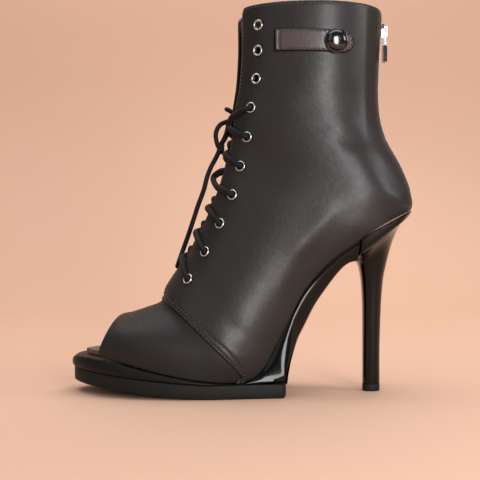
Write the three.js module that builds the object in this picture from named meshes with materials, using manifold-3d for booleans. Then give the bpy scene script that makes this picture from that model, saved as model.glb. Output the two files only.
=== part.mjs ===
// Left stiletto ankle boot with a peep toe, lacing, a side strap and a back zip.
// Millimetres, +Z up, toe towards -X, lateral side towards -Y, sole on z = 0.

import * as THREE from 'three';
import { mergeVertices } from 'three/addons/utils/BufferGeometryUtils.js';
import Module from 'manifold-3d';

const wasm = await Module();
wasm.setup();

// Overall sizes
const bootLength = 216; // platform nose to the back of the heel
const seatHeight = 114; // floor to the heel seat at the back
const shaftHeight = 125; // heel seat to the collar
const ballWidth = 80;
const seatWidth = 61; // upper at the heel
const collarWidth = 66;
const toeSwing = 6; // lean of the toe end towards the medial side

// Sole sizes
const outsoleThickness = 8.5;
const toeSpring = 7.6;
const toeLift = 14; // footbed at the toe opening above the footbed at the ball
const ballCover = 0.9; // least thickness of the wrapped platform
const nosePillow = 4; // rounding of the platform's front edge
const outsoleInset = 1.3;
const outsoleChamfer = 1;
const breastAlong = 0.831; // front of the heel, as a share of the boot length
const waistStartAlong = 0.512;
const outsoleEndAlong = 0.6225;
const heelTipWidth = 11;
const heelTipLength = 10.8;
const liftThickness = 4.4;
const featherInset = 1; // upper's lower edge inside the edge of the sole

// Upper and lining sizes
const wallThickness = 2.2;
const lapStep = 1.1; // quarters over the vamp
const facingGapLow = 5; // half the gap between the facings
const facingGapHigh = 11;
const facingCorner = 5; // round corner at the collar
const facingFlare = 2.6; // medial facing stands forward above the lacing
const peepBow = 3; // bulge of the toe opening's edge
const tongueThickness = 1.6;
const tongueHalfWidth = 21;
const tongueDrop = 5; // below the collar
const tongueFlat = 0.8; // share of the front's rounding that the tongue doesn't follow
const tongueClearance = 1.2; // under the facings
const insoleThickness = 2.6;
const insoleClearance = 2.6; // to the upper's wall
const sockSetback = 9; // footbed's front edge behind the platform nose

// Trim sizes
const eyeletCount = 10;
const eyeletTopInset = 14.5; // below the collar
const eyeletRun = 165.5; // first to last eyelet, along their row
const eyeletSetback = 10; // behind the facing's edge, seen from the side
const eyeletSpread = 1.08; // above 1 the rows open out towards the toe
const eyeletFlangeRadius = 3.4;
const eyeletBarrelRadius = 2.4;
const eyeletBore = 1.8;
const eyeletRim = 0.8; // height of the flange
const eyeletLip = 0.25; // slope of the flange's underside and of the barrel's end
const eyeletSides = 9;
const laceRadius = 1.5;
const laceRise = -1.8; // crossings against a straight line, forward
const laceSlant = 0.22; // sections that a strand climbs on its way to the facing's edge
const laceDip = 0.5; // sections that it ends below the next eyelet
const looseRise = 3.2; // the one loose crossing
const looseCrossing = 3;
const firstLacedEyelet = 3; // counted from 0 at the collar
const knotRadius = 3;
const strapWidth = 13.4;
const strapFront = 0.590; // along the boot length
const strapLength = 47.6;
const strapThickness = 1.8;
const strapDrop = 23.2; // middle of the strap's front end below the collar
const strapSlope = -0.03;
const snapRadius = 7.2;
const snapHeight = 4.2;
const snapFromTip = 11.2;
const chainWidth = 5; // teeth of the zip
const chainThickness = 1.3;
const chainDepth = 1.2; // groove that the zip lies in
const grooveClearance = 1;
const chainBottomRise = 1.1; // lower end of the zip, 1 at the seat and 2 at the collar
const sliderLength = 9;
const sliderWidth = 7;
const sliderThickness = 1.6;
const bridgeWidth = 1.8;
const bridgeLength = 6.4;
const bridgeThickness = 0.8;
const sliderDrop = 12; // below the collar
const pullLength = 13;
const pullWidth = 6.5;
const pullThickness = 2.4;
const linkLength = 6;
const linkWidth = 4.4;
const linkWire = 0.5; // radius

const gap = 0.3; // between pieces that touch
const ballHeight = outsoleThickness + ballCover;

// Column 0 is the share of the boot length from the nose, then the half widths as shares of
// the ball width, measured from the long axis: footbed lateral and medial, outsole lateral and
// medial
const outlineRows = [
  [0.00, 0.445, 0.415, 0.445, 0.415],
  [0.15, 0.475, 0.460, 0.475, 0.460],
  [0.27, 0.500, 0.492, 0.500, 0.492],
  [0.36, 0.507, 0.480, 0.507, 0.480],
  [0.44, 0.480, 0.425, 0.488, 0.440],
  [0.52, 0.415, 0.352, 0.455, 0.400],
  [0.60, 0.345, 0.305, 0.425, 0.370],
  [0.70, 0.298, 0.285, 0.400, 0.350],
  [0.80, 0.315, 0.310, 0.400, 0.350],
  [0.88, 0.338, 0.338, 0.400, 0.350],
  [1.00, 0.344, 0.344, 0.400, 0.350],
];

// Height of the footbed's lower side: share of the boot length, share of the toe lift,
// and rise from the ball (0) to the heel seat (1)
const footRows = [
  [0.000, 0.94, 0],
  [0.042, 1.00, 0],
  [0.088, 1.00, 0],
  [0.148, 0.87, 0],
  [0.218, 0.63, 0],
  [0.292, 0.37, 0],
  [0.366, 0.165, 0],
  [0.431, 0.04, 0],
  [0.484, 0, 0],
  [0.519, 0, 0.014],
  [0.542, 0, 0.042],
  [0.568, 0, 0.100],
  [0.593, 0, 0.198],
  [0.624, 0, 0.318],
  [0.646, 0, 0.410],
  [0.672, 0, 0.510],
  [0.717, 0, 0.627],
  [0.759, 0, 0.710],
  [0.804, 0, 0.779],
  [0.881, 0, 0.888],
  [0.940, 0, 0.953],
  [0.993, 0, 1.000],
];

// Sections of the last from the toe to the collar. Each lies in a plane across the boot that
// runs from a top point to a low point. Points are a share of the boot length and a rise, 0 at
// the ball, 1 at the heel seat and 2 at the collar. A low rise of null is on the footbed.
// Half widths are shares of the named width, then come the height of the widest place as a
// share of the section and the roundness of its upper part.
const sectionRows = [
  // number, top along, top rise, low along, low rise, width, lateral, medial, widest, round
  [0, 0.086, 0.290, 0.048, null, ballWidth, 0.330, 0.320, 0.36, 2.35],
  [1, 0.138, 0.372, 0.102, null, ballWidth, 0.415, 0.405, 0.36, 2.30],
  [2, 0.176, 0.394, 0.188, null, ballWidth, 0.484, 0.475, 0.37, 2.15],
  [3, 0.218, 0.423, 0.305, null, ballWidth, 0.512, 0.500, 0.37, 2.05],
  [4, 0.262, 0.462, 0.484, null, ballWidth, 0.512, 0.485, 0.34, 2.00],
  [5, 0.277, 0.546, 0.528, null, ballWidth, 0.502, 0.460, 0.34, 1.95],
  [6, 0.307, 0.646, 0.560, null, ballWidth, 0.482, 0.435, 0.35, 1.92],
  [7, 0.339, 0.747, 0.588, null, ballWidth, 0.457, 0.415, 0.36, 1.90],
  [8, 0.362, 0.847, 0.620, null, ballWidth, 0.432, 0.400, 0.37, 1.90],
  [9, 0.386, 0.948, 0.662, null, ballWidth, 0.412, 0.390, 0.37, 1.95],
  [10, 0.404, 1.036, 0.736, null, seatWidth, 0.522, 0.505, 0.36, 2.05],
  [11, 0.421, 1.117, 0.838, null, seatWidth, 0.512, 0.500, 0.34, 2.20],
  [12, 0.4285, 1.195, 0.944, null, seatWidth, 0.504, 0.500, 0.31, 2.20],
  [13, 0.436, 1.264, 0.993, 1.000, seatWidth, 0.500, 0.500, 0.33, 2.20],
  [14, 0.4465, 1.328, 0.992, 1.088, seatWidth, 0.497, 0.497, 0.37, 2.20],
  [15, 0.4545, 1.404, 0.960, 1.227, seatWidth, 0.490, 0.490, 0.41, 2.20],
  [16, 0.464, 1.504, 0.915, 1.370, seatWidth, 0.483, 0.483, 0.44, 2.20],
  [17, 0.479, 1.632, 0.8965, 1.525, collarWidth, 0.455, 0.455, 0.46, 2.15],
  [18, 0.487, 1.808, 0.898, 1.740, collarWidth, 0.475, 0.475, 0.46, 2.15],
  [19, 0.4875, 2.000, 0.9065, 2.000, collarWidth, 0.500, 0.500, 0.46, 2.15],
];
const peepSection = 1;
const lapSection = 4;
const collarSection = 19;
const seatSection = 13;
const throatSection = 4.12; // lower end of the lacing gap
const noseShare = 0.25; // of the length that rounds off to the toe
const heelShare = 0.15;
const axisShare = 0.36; // of the length over which the toe swings

const lengthwise = (along) => (along - 0.5) * bootLength;
const alongOf = (x) => x / bootLength + 0.5;
const riseHeight = (rise) => ballHeight + Math.min(rise, 1) * (seatHeight - ballHeight)
  + Math.max(rise - 1, 0) * shaftHeight;
const clamp = (value, low, high) => Math.min(Math.max(value, low), high);
const mix = (from, to, share) => from + (to - from) * share;
const ease = (value) => {
  const t = clamp(value, 0, 1);
  return t * t * (3 - 2 * t);
};

// Smooth value of one column of a table at a place along its first column
function smoothAt(rows, column, place) {
  const last = rows.length - 1;
  let row = 0;
  while (row < last - 1 && place > rows[row + 1][0]) row += 1;
  const slope = (index) => {
    const before = rows[Math.max(index - 1, 0)];
    const after = rows[Math.min(index + 1, last)];
    return (after[column] - before[column]) / (after[0] - before[0]);
  };
  const from = rows[row];
  const to = rows[row + 1];
  const span = to[0] - from[0];
  const t = clamp((place - from[0]) / span, 0, 1);
  const t2 = t * t;
  const t3 = t2 * t;
  return (2 * t3 - 3 * t2 + 1) * from[column] + (t3 - 2 * t2 + t) * span * slope(row)
    + (3 * t2 - 2 * t3) * to[column] + (t3 - t2) * span * slope(row + 1);
}

const axisShift = (along) => toeSwing * Math.max(0, 1 - along / axisShare) ** 2;
const footHeight = (along) => ballHeight + smoothAt(footRows, 1, along) * toeLift
  + smoothAt(footRows, 2, along) * (seatHeight - ballHeight);
const soleBottom = (along) => toeSpring * Math.max(0, 1 - along / 0.4) ** 1.2;
const heelEnd = footRows[footRows.length - 1][0];

// Half width of the sole's outline from its long axis; side is -1 lateral, 1 medial
function outlineHalf(side, along, noseInset = 0, tread = 0) {
  const place = along - noseInset / bootLength;
  const nose = clamp(1 - place / noseShare, 0, 1);
  const heel = clamp((along - heelEnd + heelShare) / heelShare, 0, 1);
  const rounding = Math.sqrt(Math.max(0, (1 - nose ** 2.1) * (1 - heel ** 2.2)));
  return smoothAt(outlineRows, (side < 0 ? 1 : 2) + 2 * tread, along) * ballWidth * rounding;
}

// The last's sections with their lengths worked out, one row for each section
const lastRows = sectionRows.map(([number, topAlong, topRise, lowAlong, lowRise, width,
  lateral, medial, widest, round]) => [
  number, lengthwise(topAlong), riseHeight(topRise), lengthwise(lowAlong),
  lowRise === null ? footHeight(lowAlong) : riseHeight(lowRise),
  lateral * width, medial * width, widest, round,
]);

function lastSection(u) {
  const at = (column) => smoothAt(lastRows, column, u);
  const low = { x: at(3), z: u < seatSection ? footHeight(alongOf(at(3))) : at(4) };
  return { top: { x: at(1), z: at(2) }, low, half: [at(5), at(6)], widest: at(7), round: at(8) };
}

// Point of the last at section u: a is 0 at the low edge, 0.5 at the widest place, 1 on top
function lastPoint(u, side, a) {
  const section = lastSection(u);
  const half = section.half[side < 0 ? 0 : 1];
  const turn = (a - 0.5) * Math.PI;
  let level;
  let reach;
  if (a < 0.5) {
    const open = u < seatSection ? outlineHalf(side, alongOf(section.low.x)) - featherInset : 0;
    const edge = clamp(open, 0, half);
    const down = Math.sin(-turn);
    level = section.widest * (1 - down);
    reach = Math.sqrt(Math.max(0, half ** 2 - (half ** 2 - edge ** 2) * down ** 2));
  } else {
    level = section.widest + (1 - section.widest) * Math.sin(turn) ** (2 / section.round);
    reach = half * Math.max(0, Math.cos(turn)) ** (2 / section.round);
  }
  const x = mix(section.low.x, section.top.x, level);
  const z = mix(section.low.z, section.top.z, level);
  return new THREE.Vector3(x, axisShift(alongOf(x)) + side * reach, z);
}

// Outward direction of the last's surface
function lastNormal(u, side, a) {
  const step = 0.004;
  const around = (shift) => {
    const place = a + shift;
    if (place > 1) return lastPoint(u, -side, 2 - place);
    if (place < 0) return u < seatSection ? lastPoint(u, side, 0) : lastPoint(u, -side, -place);
    return lastPoint(u, side, place);
  };
  const upward = around(step).sub(around(-step));
  const forward = lastPoint(u + step, side, a).sub(lastPoint(u - step, side, a));
  const normal = upward.cross(forward).multiplyScalar(side).normalize();
  if ((a === 1) || (a === 0 && u >= seatSection)) {
    normal.y = 0;
    normal.normalize();
  }
  return normal;
}

// Half of the gap between the facings at section u, round at its foot and at the collar
function facingGap(u) {
  if (u <= throatSection) return 0;
  const height = lastSection(u).top.z;
  const foot = lastSection(throatSection).top.z;
  const collar = riseHeight(2);
  const open = mix(facingGapLow, facingGapHigh, ease((height - foot) / (0.55 * (collar - foot))));
  const start = clamp((height - foot) / facingGapLow, 0, 1);
  const corner = clamp((height - collar + facingCorner) / facingCorner, 0, 1);
  return open * Math.sqrt(1 - (1 - start) ** 2) + facingCorner * (1 - Math.sqrt(1 - corner ** 2));
}

// Share of the half section at which the facing's edge lies
function edgeShare(u, side) {
  const section = lastSection(u);
  const half = section.half[side < 0 ? 0 : 1];
  return 0.5 + Math.acos((facingGap(u) / half) ** (section.round / 2)) / Math.PI;
}

// Point of the upper, lifted along the surface's normal; t runs from the low edge to the facing
function upperPoint(u, side, t, lift = 0) {
  const a = t * edgeShare(u, side);
  const point = lastPoint(u, side, a).addScaledVector(lastNormal(u, side, a), lift);
  const height = (point.z - riseHeight(1)) / shaftHeight;
  const flare = side > 0 ? facingFlare * ease((t - 0.72) / 0.28) * ease((height - 0.3) / 0.3) : 0;
  point.x -= flare;
  return point;
}

// Section and share of the lateral or medial side that shows at x and z from the side
function placeOnSide(side, x, z) {
  let best = { miss: Infinity, u: 8, a: 0.6 };
  for (let u = 1; u <= collarSection; u += 0.5) {
    for (let a = 0.1; a < 0.98; a += 0.05) {
      const point = lastPoint(u, side, a);
      const miss = Math.hypot(point.x - x, point.z - z);
      if (miss < best.miss) best = { miss, u, a };
    }
  }
  let { u, a } = best;
  for (let round = 0; round < 8; round += 1) {
    const h = 0.001;
    const here = lastPoint(u, side, a);
    const du = lastPoint(u + h, side, a).sub(here).divideScalar(h);
    const da = lastPoint(u, side, a + h).sub(here).divideScalar(h);
    const area = du.x * da.z - du.z * da.x;
    u += ((x - here.x) * da.z - (z - here.z) * da.x) / area;
    a += (du.x * (z - here.z) - du.z * (x - here.x)) / area;
    u = clamp(u, 0, collarSection);
    a = clamp(a, 0.02, 0.99);
  }
  return { u, a };
}

function volumeOf(geometry) {
  const { position } = geometry.attributes;
  const corner = (i) => new THREE.Vector3().fromBufferAttribute(position, geometry.index.array[i]);
  let volume = 0;
  for (let i = 0; i < geometry.index.count; i += 3) {
    volume += corner(i).dot(corner(i + 1).cross(corner(i + 2))) / 6;
  }
  return volume;
}

// Closed mesh from corner points, with touching points joined and empty faces dropped
function closedGeometry(points, faces) {
  const raw = new THREE.BufferGeometry();
  const flat = points.flatMap((point) => [point.x, point.y, point.z]);
  raw.setAttribute('position', new THREE.Float32BufferAttribute(flat, 3));
  raw.setIndex(faces.flat());
  const welded = mergeVertices(raw, 1e-3);
  const index = Array.from(welded.index.array);
  const kept = [];
  for (let i = 0; i < index.length; i += 3) {
    const [a, b, c] = [index[i], index[i + 1], index[i + 2]];
    if (a !== b && b !== c && c !== a) kept.push(a, b, c);
  }
  welded.setIndex(kept);
  if (volumeOf(welded) < 0) welded.setIndex(kept.reverse());
  welded.computeVertexNormals();
  return welded;
}

// Solid between an outer and an inner grid of points, row by row. Where open(i) is false
// along an edge of the grid, that edge is closed by a neighbouring grid instead.
function shellParts(outer, inner, edges, flip) {
  const rows = outer.length;
  const columns = outer[0].length;
  const points = [];
  const faces = [];
  const number = (grid, i, j) => grid * rows * columns + i * columns + j;
  [outer, inner].forEach((grid) => grid.forEach((row) => points.push(...row)));
  const quad = (a, b, c, d) => {
    const [p, q] = flip ? [[a, c, b], [a, d, c]] : [[a, b, c], [a, c, d]];
    faces.push(p, q);
  };
  for (let i = 0; i + 1 < rows; i += 1) {
    for (let j = 0; j + 1 < columns; j += 1) {
      quad(number(0, i, j), number(0, i, j + 1), number(0, i + 1, j + 1), number(0, i + 1, j));
      quad(number(1, i, j), number(1, i + 1, j), number(1, i + 1, j + 1), number(1, i, j + 1));
    }
    if (edges.low(i)) {
      quad(number(0, i, 0), number(0, i + 1, 0), number(1, i + 1, 0), number(1, i, 0));
    }
    if (edges.high(i)) {
      const j = columns - 1;
      quad(number(0, i, j), number(1, i, j), number(1, i + 1, j), number(0, i + 1, j));
    }
  }
  for (let j = 0; j + 1 < columns; j += 1) {
    const i = rows - 1;
    quad(number(0, 0, j), number(1, 0, j), number(1, 0, j + 1), number(0, 0, j + 1));
    quad(number(0, i, j), number(0, i, j + 1), number(1, i, j + 1), number(1, i, j));
  }
  return { points, faces };
}

function joinParts(parts) {
  const points = [];
  const faces = [];
  parts.forEach((part) => {
    const first = points.length;
    points.push(...part.points);
    part.faces.forEach((face) => faces.push(face.map((corner) => corner + first)));
  });
  return closedGeometry(points, faces);
}

// Solid through closed rings of points, capped at both ends
function loft(rings) {
  const count = rings[0].length;
  const points = rings.flat();
  const faces = [];
  for (let i = 0; i + 1 < rings.length; i += 1) {
    for (let j = 0; j < count; j += 1) {
      const next = (j + 1) % count;
      const [a, b] = [i * count + j, i * count + next];
      const [c, d] = [b + count, a + count];
      faces.push([a, b, c], [a, c, d]);
    }
  }
  [0, rings.length - 1].forEach((ring) => {
    const centre = new THREE.Vector3();
    rings[ring].forEach((point) => centre.addScaledVector(point, 1 / count));
    points.push(centre);
    for (let j = 0; j < count; j += 1) {
      const [a, b] = [ring * count + j, ring * count + ((j + 1) % count)];
      faces.push(ring === 0 ? [points.length - 1, b, a] : [points.length - 1, a, b]);
    }
  });
  return closedGeometry(points, faces);
}

function solidOf(geometry) {
  const bare = geometry.clone();
  bare.deleteAttribute('normal');
  bare.deleteAttribute('uv');
  const welded = mergeVertices(bare, 1e-4);
  return new wasm.Manifold(new wasm.Mesh({
    numProp: 3,
    vertProperties: new Float32Array(welded.attributes.position.array),
    triVerts: new Uint32Array(welded.index.array),
  }));
}

function geometryOf(solid) {
  const mesh = solid.getMesh();
  const geometry = new THREE.BufferGeometry();
  geometry.setAttribute('position', new THREE.BufferAttribute(mesh.vertProperties, 3));
  geometry.setIndex(new THREE.BufferAttribute(mesh.triVerts, 1));
  geometry.computeVertexNormals();
  return geometry;
}

// Turn and place a geometry made along +Y so that it stands on a point along a direction
function seated(geometry, point, direction) {
  const turn = new THREE.Quaternion().setFromUnitVectors(new THREE.Vector3(0, 1, 0), direction);
  return geometry.applyQuaternion(turn).translate(point.x, point.y, point.z);
}

function cordAlong(points, radius, steps, sides = 8) {
  const section = new THREE.Shape();
  for (let i = 0; i < sides; i += 1) {
    const angle = (i / sides) * 2 * Math.PI;
    const [x, y] = [radius * Math.cos(angle), radius * Math.sin(angle)];
    if (i === 0) section.moveTo(x, y);
    else section.lineTo(x, y);
  }
  section.closePath();
  const extrudePath = new THREE.CatmullRomCurve3(points, false, 'centripetal');
  return new THREE.ExtrudeGeometry(section, { steps, bevelEnabled: false, extrudePath });
}

// Finishes
const leather = new THREE.MeshStandardMaterial({ color: 0x3a3433, roughness: 0.45 });
const glossWrap = new THREE.MeshStandardMaterial({ color: 0x14110f, roughness: 0.15 });
const soleRubber = new THREE.MeshStandardMaterial({ color: 0x252624, roughness: 0.7 });
const lining = new THREE.MeshStandardMaterial({ color: 0xa98c66, roughness: 0.8 });
const metal = new THREE.MeshStandardMaterial({ color: 0x9a9a9c, roughness: 0.25, metalness: 1 });
const darkMetal = new THREE.MeshStandardMaterial({ color: 0x3b3c40, roughness: 0.1, metalness: 1 });
const laceCotton = new THREE.MeshStandardMaterial({ color: 0x1b1a1a, roughness: 0.8 });

const boot = new THREE.Group();
function addPiece(name, geometry, material) {
  const mesh = new THREE.Mesh(geometry, material);
  mesh.name = name;
  boot.add(mesh);
  return mesh;
}

// Upper: rows of the shell from the toe opening to the collar
const shellColumns = 9;
const vampRows = [0, 0.3, 0.65, 1];
const quarterRows = [4, 4.12, 4.2, 4.36, 4.7, 5.3, 6, 6.8, 7.6, 8.4, 9.1, 9.7, 10.3, 10.9, 11.6,
  12.3, 13, 13.7, 14.4, 15.2, 16.1, 17, 17.8, 18.5, 18.8, 18.93, 19];

function peepStart(t) {
  const level = Math.sin(Math.PI * clamp(t, 0, 1)) ** 0.8;
  return peepSection - (peepBow / 11) * level;
}

function upperGrid(side, depth) {
  const rows = [];
  const columns = [...Array(shellColumns + 1).keys()].map((j) => j / shellColumns);
  vampRows.forEach((share) => rows.push(columns.map((t) => upperPoint(
    mix(peepStart(t), lapSection, share),
    side,
    t,
    depth === 0 ? -lapStep : -depth,
  ))));
  quarterRows.forEach((u) => rows.push(columns.map((t) => upperPoint(u, side, t, -depth))));
  return rows;
}

const rowSections = [...vampRows.map((share) => mix(peepSection, lapSection, share)), ...quarterRows];
const upperEdges = {
  low: (i) => rowSections[i] < seatSection,
  high: (i) => facingGap(rowSections[i + 1]) > 0,
};
const upperShell = solidOf(joinParts([-1, 1].map((side) => shellParts(
  upperGrid(side, 0),
  upperGrid(side, wallThickness),
  upperEdges,
  side > 0,
))));

// Line of the eyelets, a fixed distance behind the facing's edge as seen from the side
function behindEdge(u, side) {
  const edge = upperPoint(u, side, 1);
  let t = 1;
  let point = edge;
  while (Math.hypot(point.x - edge.x, point.z - edge.z) < eyeletSetback) {
    t -= 0.004;
    point = upperPoint(u, side, t);
  }
  return { u, t, point };
}

function eyeletTrack(side) {
  const track = [];
  let run = 0;
  let before = behindEdge(collarSection, side).point;
  for (let u = collarSection; u >= throatSection; u -= 0.1) {
    const place = behindEdge(u, side);
    run += place.point.distanceTo(before);
    track.push({ ...place, run });
    before = place.point;
  }
  return track;
}

function eyeletPlace(track, side, number) {
  const share = (number / (eyeletCount - 1)) ** eyeletSpread;
  const run = eyeletTopInset + share * eyeletRun;
  const next = track.findIndex((place) => place.run >= run);
  const [from, to] = [track[next - 1], track[next]];
  const part = (run - from.run) / (to.run - from.run);
  const [u, t] = [mix(from.u, to.u, part), mix(from.t, to.t, part)];
  return { u, t, point: upperPoint(u, side, t), normal: upperNormal(u, side, t) };
}

function upperNormal(u, side, t) {
  const h = 0.01;
  const forward = upperPoint(u + h, side, t).sub(upperPoint(u - h, side, t));
  const upward = upperPoint(u, side, t + h).sub(upperPoint(u, side, t - h));
  return upward.cross(forward).multiplyScalar(side).normalize();
}

const eyelets = [-1, 1].flatMap((side) => {
  const track = eyeletTrack(side);
  return [...Array(eyeletCount).keys()].map((number) => ({
    side, number, name: `eyelet_${side < 0 ? 'lateral' : 'medial'}_${number + 1}`,
    ...eyeletPlace(track, side, number),
  }));
});

let upper = upperShell;
eyelets.forEach((eyelet) => {
  const radius = eyeletBarrelRadius + gap;
  const punch = seated(new THREE.CylinderGeometry(radius, radius, 12, 8), eyelet.point, eyelet.normal);
  upper = upper.subtract(solidOf(punch));
});

const eyeletProfile = [
  [eyeletBore, -wallThickness - 0.6],
  [eyeletBarrelRadius, -wallThickness - 0.6 + eyeletLip],
  [eyeletBarrelRadius, gap],
  [eyeletFlangeRadius, gap + eyeletLip],
  [(eyeletBore + eyeletFlangeRadius) / 2, gap + eyeletRim],
].map(([radius, height]) => new THREE.Vector2(radius, height));
eyelets.forEach((eyelet) => {
  const ring = new THREE.LatheGeometry([...eyeletProfile, eyeletProfile[0]], eyeletSides);
  addPiece(eyelet.name, geometryOf(solidOf(seated(ring, eyelet.point, eyelet.normal))), metal);
});

// Tongue: a strip under the facings, from above the vamp to just below the collar
const tongueRows = 11;
const tongueColumns = 4;
function tongueGrid(side, depth) {
  const rows = [];
  for (let i = 0; i <= tongueRows; i += 1) {
    const u = mix(lapSection + 0.5, collarSection - tongueDrop / 16, i / tongueRows);
    const section = lastSection(u);
    const half = section.half[side < 0 ? 0 : 1];
    const reach = tongueHalfWidth * mix(0.72, 1, ease(i / 5));
    const outer = 0.5 + Math.acos((reach / half) ** (section.round / 2)) / Math.PI;
    const chord = [-1, 1].map((each) => lastPoint(u, each, edgeShare(u, each)))
      .reduce((sum, edge) => sum.addScaledVector(edge, 0.5), new THREE.Vector3());
    const forward = lastPoint(u, side, 1).sub(chord).setY(0).normalize();
    const row = [];
    for (let j = 0; j <= tongueColumns; j += 1) {
      const a = mix(outer, 1, j / tongueColumns);
      const proud = Math.max(0, lastPoint(u, side, a).sub(chord).dot(forward));
      const point = lastPoint(u, side, a).addScaledVector(lastNormal(u, side, a), -depth);
      row.push(point.addScaledVector(forward, -tongueFlat * proud));
    }
    rows.push(row);
  }
  return rows;
}
const tongueDepth = wallThickness + tongueClearance;
addPiece('tongue', joinParts([-1, 1].map((side) => shellParts(
  tongueGrid(side, tongueDepth),
  tongueGrid(side, tongueDepth + tongueThickness),
  { low: () => true, high: () => false },
  side > 0,
))), leather);

// Footbed along the lower edge of the upper
function footNormal(along) {
  const h = 0.002;
  const rise = (footHeight(along + h) - footHeight(along - h)) / (2 * h * bootLength);
  return new THREE.Vector3(-rise, 0, 1).normalize();
}

function footPoint(along, y, lift) {
  const point = new THREE.Vector3(lengthwise(along), y, footHeight(along));
  return point.addScaledVector(footNormal(along), lift);
}

const stations = (from, to, count, power = 1) => [...Array(count + 1).keys()]
  .map((i) => mix(from, to, (i / count) ** power));

const insoleStart = sockSetback / bootLength;
const insoleInset = wallThickness + featherInset + insoleClearance;
const insoleEnd = heelEnd - (insoleInset - 0.4) / bootLength;
const insoleStations = [...stations(insoleStart + 0.002, 0.12, 5, 1.6), ...stations(0.15, 0.88, 19),
  ...stations(0.905, insoleEnd - 0.002, 4, 0.7)];
addPiece('insole', loft(insoleStations.map((along) => {
  const edge = (side) => {
    const half = outlineHalf(side, along, sockSetback) - insoleInset;
    return axisShift(along) + side * Math.max(half, 2.5);
  };
  const [low, high] = [gap, gap + insoleThickness];
  return [footPoint(along, edge(-1), low), footPoint(along, edge(-1), high),
    footPoint(along, axisShift(along), high), footPoint(along, edge(1), high),
    footPoint(along, edge(1), low)];
})), lining);

// Platform with its leather wrap, between the footbed and the outsole
const coverEnd = waistStartAlong - gap / bootLength;
const coverStations = [...stations(0.0006, 0.1, 8, 1.8), ...stations(0.13, coverEnd, 12)];
const soleTop = (along) => soleBottom(along) + outsoleThickness;
addPiece('platform_cover', loft(coverStations.map((along) => {
  const fromNose = (along * bootLength) / nosePillow;
  const swell = fromNose < 1 ? Math.sqrt(1 - (1 - fromNose) ** 2) : 1;
  const bottom = soleTop(along) + gap;
  const top = footHeight(along) - gap;
  const middle = mix(bottom, top, 0.36);
  // inset from the outline and height, from the bottom edge to the top edge
  const profile = [[1.2, 0], [0.1, 0.2], [0, 0.42], [0.5, 0.75], [1.4, 0.93], [3.4, 1]];
  const side = (sign) => profile.map(([inset, level]) => {
    const half = Math.max(outlineHalf(sign, along) - inset, 0.4 + 0.2 * level);
    const height = middle + (mix(bottom, top, level) - middle) * swell;
    return new THREE.Vector3(lengthwise(along), axisShift(along) + sign * half, height);
  });
  return [...side(-1), ...side(1).reverse()];
})), leather);

// Outsole with toe spring and a flat stretch under the ball
const outsoleStart = (outsoleInset + 0.3) / bootLength;
const outsoleStations = [...stations(outsoleStart, 0.1, 8, 1.8), ...stations(0.13, 0.37, 7),
  ...stations(0.4, outsoleEndAlong - 0.012, 6), outsoleEndAlong - 0.004, outsoleEndAlong];
addPiece('outsole', loft(outsoleStations.map((along) => {
  const bottom = soleBottom(along);
  const top = soleTop(along);
  const rear = Math.max(0, 1 - (outsoleEndAlong - along) / 0.012);
  const lift = 2.2 * (1 - Math.sqrt(1 - rear ** 2));
  const chamfer = outsoleChamfer + lift;
  const side = (sign) => {
    const half = outlineHalf(sign, along, outsoleInset, 1) - 0.6 - 5 * (1 - Math.sqrt(1 - rear ** 2));
    const y = (inset) => axisShift(along) + sign * (half - inset);
    const x = lengthwise(along);
    return [new THREE.Vector3(x, y(chamfer), bottom + 0.6 * lift),
      new THREE.Vector3(x, y(0), bottom + chamfer), new THREE.Vector3(x, y(0), top - 0.8),
      new THREE.Vector3(x, y(0.5), top)];
  };
  return [...side(-1), ...side(1).reverse()];
})), soleRubber);

// Glossy waist: share of the length and rise along its rear edge, one for each footbed place
const waistRows = [
  // footbed along, rear along, rear rise
  [0.512, 0.512, -1],
  [0.530, 0.535, -1],
  [0.545, 0.560, -1],
  [0.562, 0.592, -1],
  [0.581, 0.6215, -1],
  [0.600, 0.6290, 0.045],
  [0.622, 0.6385, 0.128],
  [0.645, 0.657, 0.235],
  [0.668, 0.680, 0.330],
  [0.700, 0.706, 0.434],
  [0.738, 0.740, 0.538],
  [0.780, 0.778, 0.640],
  [0.806, 0.802, 0.682],
  [breastAlong - gap / bootLength, breastAlong - 0.0035, 0.698],
];
addPiece('waist', loft(waistRows.map(([along, rearAlong, rearRise], index) => {
  const floorLevel = outsoleThickness + gap;
  const rearZ = rearRise < 0 ? floorLevel : Math.max(floorLevel, riseHeight(rearRise));
  const topPoint = new THREE.Vector3(lengthwise(along), 0, footHeight(along));
  topPoint.addScaledVector(footNormal(along), -gap - 0.05);
  if (index === 0) topPoint.z = floorLevel + 0.5;
  const rear = new THREE.Vector3(lengthwise(rearAlong), 0, rearZ);
  // inset from the outline and share of the way from the footbed to the rear edge
  const profile = [[0.8, 0], [0.1, 0.12], [0.3, 0.5], [1.2, 0.86], [4.5, 1]];
  const side = (sign) => profile.map(([inset, level]) => {
    const onSole = rearRise < 0 ? 1 : clamp(1 - rearRise / 0.25, 0, 1);
    const low = mix(outlineHalf(sign, along) - 2.2, outlineHalf(sign, rearAlong, 0, 1) - 1, onSole);
    const half = mix(outlineHalf(sign, along), low, level) - (level === 1 ? mix(3.5, 0, onSole) : inset);
    const point = topPoint.clone().lerp(rear, level);
    point.y = axisShift(along) + sign * half;
    return point;
  });
  return [...side(-1).reverse(), ...side(1)];
})), glossWrap);

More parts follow.
